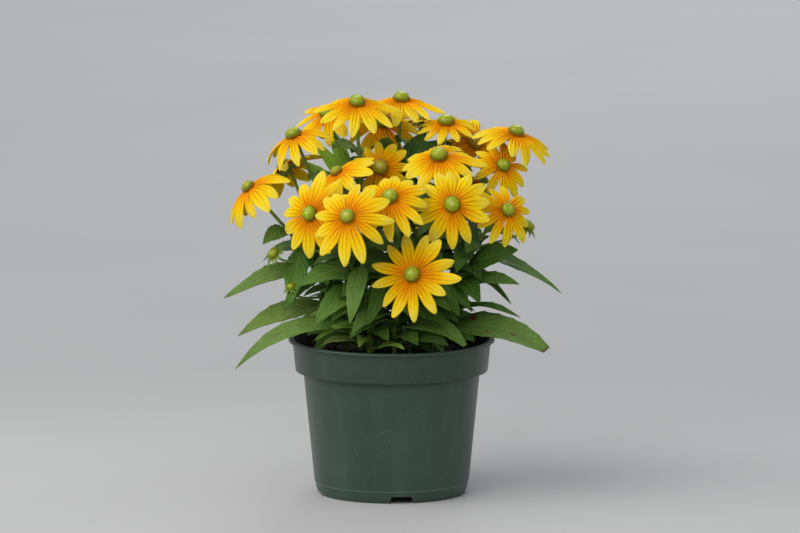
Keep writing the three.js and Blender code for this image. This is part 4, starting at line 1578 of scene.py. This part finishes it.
# %% Smaller leaves that are placed
# Stem and path on it, height of the foot, tip, arch, width, roll and age.
# Ages near 1 are painted light: pale green for leaves that shine bright in the light.
EXTRA_LEAVES = [
    (2, 0, 288, (56, 30, 320), 5, 26, 50, 0.05),
    (2, 0, 278, (32, 46, 331), 3, 22, 50, 0.1),
    (2, 1, 296, (8, 60, 314), 4, 20, 40, 0.2),
    (1, 1, 246, (-84, 40, 302), 8, 14, 50, 1.0),
    (1, 1, 262, (-76, 50, 322), 6, 13, 50, 1.0),
    (1, 1, 282, (-58, 64, 330), 4, 13, 50, 1.0),
    (1, 0, 270, (-46, 16, 318), 4, 8, 50, 0.9),
    (1, 0, 246, (-60, 20, 296), 6, 12, 50, 0.85),
    (9, 0, 134, (12, -84, 146), 7, 12, 16, 0.95),
    (9, 0, 139, (-30, -78, 147), 10, 13, 20, 0.9),
    (8, 0, 140, (52, -74, 148), 10, 22, 24, 0.4),
    (10, 0, 142, (84, -22, 149), 8, 20, 24, 0.1),
    (10, 0, 140, (76, -50, 148), 8, 20, 30, 0.15),
    (6, 0, 150, (88, 10, 154), 8, 20, 30, 0.1),
    (8, 0, 146, (24, -74, 148), 9, 20, 24, 0.35),
    (9, 0, 158, (-70, -57, 150), 9, 15, 18, 1.0),
    (4, 0, 150, (-78, -28, 150), 7, 18, 30, 0.5),
]

fill = []
for *shape, age in EXTRA_LEAVES:
    on, leaf = placed_leaf(*shape)
    fill.append((on, leaf | {"age": age}))
print(len(fill), "smaller leaves placed")

# %% [markdown]
# The others grow along every stem and branch, wherever there is still room. They stay inside
# the crown and leave the outline as it is.

# %% Smaller leaves inside the crown
FILL_START = 138
FILL_STEP = 6.5
FILL_ROOM = 1.6
FILL_LIMITS = (84, 100)
FILL_LENGTH, LONGER_LOW = 30, 32
LOW_SPAN = 160
OFF_FORK = 6
OFF_HEAD = 24
FILL_SIZES = (1, 0.75, 0.55)
FILL_TURNS = (0, 40, -40, 85, -85, 130, 175)


def filling_leaf(path, seed, height, n, step, scale):
    base = at_height(path, height + 4 * lean(seed))
    angle = math.radians(GOLDEN_ANGLE * n + step) + 0.4 * lean(seed + 0.1)
    low = max(0.0, 1 - (height - FILL_START) / LOW_SPAN)
    length = (FILL_LENGTH + LONGER_LOW * low) * scale * (1 + 0.2 * lean(seed + 0.2))
    fall = length * (0.35 * draw(seed + 0.3) - 0.12)
    roll = (30 if base[1] < 10 else -30) + 20 * lean(seed + 0.4)
    return free_leaf(base, angle, length, fall, length * 0.18, length * 0.30 + 4, roll)


def filling_on(i, n_path):
    path, added = stems[i][n_path], []
    start = max(FILL_START, path[0][2] + OFF_FORK)
    for n in range(max(0, int((path[3][2] - OFF_HEAD - start) / FILL_STEP))):
        seed = 7000 + 100 * i + 30 * n_path + n
        height = start + n * FILL_STEP
        tries = (
            filling_leaf(path, seed, height, n + 3 * i, step, size)
            for size in FILL_SIZES for step in FILL_TURNS
        )
        added += grow(i, FILL_ROOM, FILL_LIMITS, tries)
    return added


for i, paths in enumerate(stems):
    for n_path in range(len(paths)):
        fill += filling_on(i, n_path)
print(len(fill), "smaller leaves")

# %% [markdown]
# The blank of a large leaf is a grid of eight by twenty-four. Every third edge vertex past the
# stalk is pulled forward and out a little, which makes small teeth that point to the tip. The
# many small leaves have a plainer blank, with a tooth on every second row.

# %% Leaf blanks
TOOTH_OUT = 1.07
TOOTH_ON = 0.012


def leaf_blank(columns, rows, first_tooth, tooth_step):
    start_strip(columns, rows)
    for row in range(first_tooth, rows, tooth_step):
        pick(lambda p: abs(p.y - row / rows) < NEAR and abs(p.x) > 0.99)
        scale_by(TOOTH_OUT)
        push_along(TOOTH_ON)
    return blank_mesh(bpy.context.object, MM)


large_blank = leaf_blank(8, 24, 6, 3)
small_blank = leaf_blank(4, 12, 3, 2)
print("leaf blanks:", len(large_blank[1]), "and", len(small_blank[1]), "faces")

# %% [markdown]
# A copy is laid along its rib. Its section dips at the veins and its rim ripples. Leaves are
# numbered from 0 in the order in which they were placed, and a few of them differ from their
# solids: slimmer or broader, with a blunt tip, or hanging lower. Leaves high on the plant are
# paler, partly as young leaves are and partly as painted light where leaves glow in the light
# from behind.

# %% Laying a leaf along its rib
LEAF_THICK = 0.55
PETIOLE_HALF_WIDTH = 1.5
RIM_RIPPLE = 1.3
VEIN_DIP = 0.35
# Leaves above this height get paler: partly young leaves' colour, partly painted light.
YOUNG_AND_LIT_FROM = 235
YOUNG_AND_LIT_SPAN = 220
# How old a placed leaf looks, from fresh and deep green (0) to pale (1); the others draw it.
LEAF_AGES = {
    0: 0.50, 1: 0.64, 2: 0.50, 5: 0.36, 6: 0.42, 7: 0.48, 8: 0.44, 9: 0.74, 10: 0.82, 15: 0.46,
}
SPOTTED = {2: 0.5, 15: 1.0}
BROADER = {14: 0.6, 15: 1.12}
BLUNT = {8: 0.95, 15: 0.92}
LOWERED = {15: (17, 5)}


def laid_leaf(leaf, n):
    blank_places, blank_faces = large_blank if n < len(leaves) else small_blank
    seed = 5000 + n
    wave = any_angle(seed + 0.1)
    # Paler with height: partly young leaves' colour, partly painted light.
    young = max(0.0, leaf["rib"][0][2] - YOUNG_AND_LIT_FROM) / YOUNG_AND_LIT_SPAN
    age = leaf.get("age", LEAF_AGES.get(n, 0.46 * draw(seed + 0.5) + young))
    at_bend, at_tip = LOWERED.get(n, (0, 0))
    base, bend, tip = leaf["rib"]
    rib = [base, bend - UP * at_bend, tip - UP * at_tip]
    leaf = leaf | {"rib": rib, "width": leaf["width"] * BROADER.get(n, 1)}
    places = []
    for x, y, _ in blank_places:
        s = clamp(y)
        petiole = 2 * PETIOLE_HALF_WIDTH / leaf["width"] * (1 - s)
        share = max(leaf_share(s * BLUNT.get(n, 1)), petiole)
        phase = 9 * s + wave + (1.7 if x > 0 else 0)
        ripple = RIM_RIPPLE * abs(x) ** 3 * math.sin(phase) * math.sin(math.pi * s)
        dip = VEIN_DIP * math.cos(4 * math.pi * x) * math.sin(math.pi * min(1, s * 1.1))
        places.append(on_leaf(leaf, s, x * share, ripple - dip))
    obj = mesh_from("leaf", np.array(places) * MM, blank_faces)
    floats(obj.data, "along", "POINT", blank_places[:, 1])
    floats(obj.data, "across", "POINT", blank_places[:, 0])
    floats(obj.data, "own", "POINT", [age] * len(places))
    floats(obj.data, "spotted", "POINT", [SPOTTED.get(n, 0.0)] * len(places))
    thicken(obj, LEAF_THICK)
    return obj


print("leaves with an age of their own:", len(LEAF_AGES))

# %% [markdown]
# ### Two greens
# The leaf's green is deep and a little blue, with paler veins that follow the blade. Two old
# leaves at the rim have brown spots and a wound, and the older one a dry tip. The blade is
# quilted between its side veins, and lets more light through as it gets paler.

# %% Leaf blade
WOUND_ALONG, WOUND_ACROSS = 0.72, 0.1
blade, tree, shader = new_material("leaf_blade")
along, across, own = (attribute(tree, name) for name in ("along", "across", "own"))
old = attribute(tree, "spotted")
wide = math_node(tree, "ABSOLUTE", across)
to_tip = math_node(tree, "SUBTRACT", 1.0, along)
midrib = greys(tree, math_node(tree, "MULTIPLY_ADD", to_tip, -0.04, wide), (0.0, 1), (0.06, 0))
slant = math_node(tree, "MULTIPLY_ADD", wide, -2.2, math_node(tree, "MULTIPLY", along, 7.0))
wave = math_node(tree, "PINGPONG", slant, 0.5)
veins = mix(tree, 1.0, midrib, greys(tree, wave, (0.0, 0.35), (0.07, 0)), "LIGHTEN")
# The palest ages are partly painted light, for leaves that shine bright in the light.
ages_and_painted_glow = ramp(
    tree, own,
    (0.0, srgb(66, 112, 34)), (0.28, srgb(96, 142, 52)), (0.52, srgb(124, 160, 74)),
    (0.80, srgb(160, 182, 92)), (1.0, srgb(196, 236, 104)),
)
mottle = greys(tree, object_noise(tree, 130.0, 4.0), (0.3, 0.78), (0.7, 1.0))
tinted = mix(tree, 0.8, ages_and_painted_glow, mottle, "MULTIPLY")
blots = greys(tree, object_noise(tree, 85.0, 2.0), (0.65, 0), (0.69, 1))
scorched = greys(tree, math_node(tree, "MULTIPLY", along, old), (0.970, 0), (0.995, 1))
lengthways = math_node(tree, "MULTIPLY", math_node(tree, "SUBTRACT", along, WOUND_ALONG), 13.0)
sideways = math_node(tree, "MULTIPLY", math_node(tree, "SUBTRACT", across, WOUND_ACROSS), 2.6)
off_wound = math_node(
    tree, "ADD", math_node(tree, "ABSOLUTE", lengthways), math_node(tree, "ABSOLUTE", sideways)
)
blots = mix(tree, 1.0, blots, greys(tree, off_wound, (0.45, 0.9), (0.75, 0)), "LIGHTEN")
spots = mix(tree, 1.0, mix(tree, 1.0, blots, old, "MULTIPLY"), scorched, "LIGHTEN")
spotted = mix(tree, spots, tinted, srgb(112, 84, 52))
veined = mix(tree, math_node(tree, "MULTIPLY", veins, 0.58), spotted, srgb(150, 180, 96))
grain = mix(tree, 0.4, greys(tree, wave, (0.0, 0), (0.5, 1)), object_noise(tree, 600.0, 4.0))
plug(
    tree, shader, Base_Color=veined, Roughness=0.5, Specular_IOR_Level=0.32,
    Normal=bump(tree, mix(tree, midrib, grain, grey(0)), 0.7, 0.0012),
)
let_light_through(tree, shader, veined, math_node(tree, "MULTIPLY_ADD", own, 0.35, 0.18))
print("leaves are made of", blade.name)

# %% [markdown]
# Stems, cups and bracts are a lighter green with short pale hairs. Real hairs would cost more
# faces than the whole plant, so a fine bump and a soft sheen at the edge stand for them, and
# streaks run up the stem.

# %% Hairy stalk
stalk, tree, shader = new_material("hairy_stalk")
streak = object_noise(tree, 500.0, 3.0, (1, 1, 0.15))
hairs = object_noise(tree, 1500.0, 2.0, (1, 1, 0.3))
light_green = ramp(tree, streak, (0.3, srgb(92, 120, 36)), (0.7, srgb(134, 160, 60)))
plug(
    tree, shader, Base_Color=light_green, Roughness=0.75, Sheen_Weight=0.1, Sheen_Roughness=0.4,
    Normal=bump(tree, hairs, 0.8, 0.0005),
)
print("stems are made of", stalk.name)

# %% [markdown]
# Everything that grows on one stem is joined into one piece, as it is one living piece on the
# plant. The leaves keep their own material in it, and the buds that of the florets.

# %% Growing the stems


def green_piece(i):
    _, heads = STEMS[i]
    parts, young = [], []
    for n, path in enumerate(stems[i]):
        parts.append(stem_mesh(path, BRANCH_RADIUS if n else STEM_RADIUS))
        parts += calyx(head_of(heads[n][0]), 1, 3000 + heads[n][0] * 20)
    for n, (on, height, eye, aim, size) in enumerate(BUDS):
        if on != i + 1:
            continue
        head = head_frame(eye, aim)
        path = bowed_path(at_height(stems[i][0], height), UP, calyx_foot(head, size), head["out"])
        parts.append(stem_mesh(path, SHOOT_RADIUS))
        parts += calyx(head, size, 3900 + n * 20)
        young += bud(head, size, 3950 + n * 20)
    blades = [laid_leaf(leaf, n) for n, (on, leaf) in enumerate(leaves + fill) if on == i + 1]
    for group, finish in ((parts, stalk), (young, floret_skin), (blades, blade)):
        for part in group:
            part.data.materials.clear()
            part.data.materials.append(finish)
    whole = join(parts + young + blades, named("greenery", i + 1))
    smooth(whole, 55)
    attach(whole, "root")
    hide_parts(named("leafy_stem", i + 1))
    return whole


greens = [green_piece(i) for i in range(len(STEMS))]
print(len(greens), "leafy stems,", sum(len(g.data.polygons) for g in greens), "faces")

# %% Clearing the selection
start_clean()
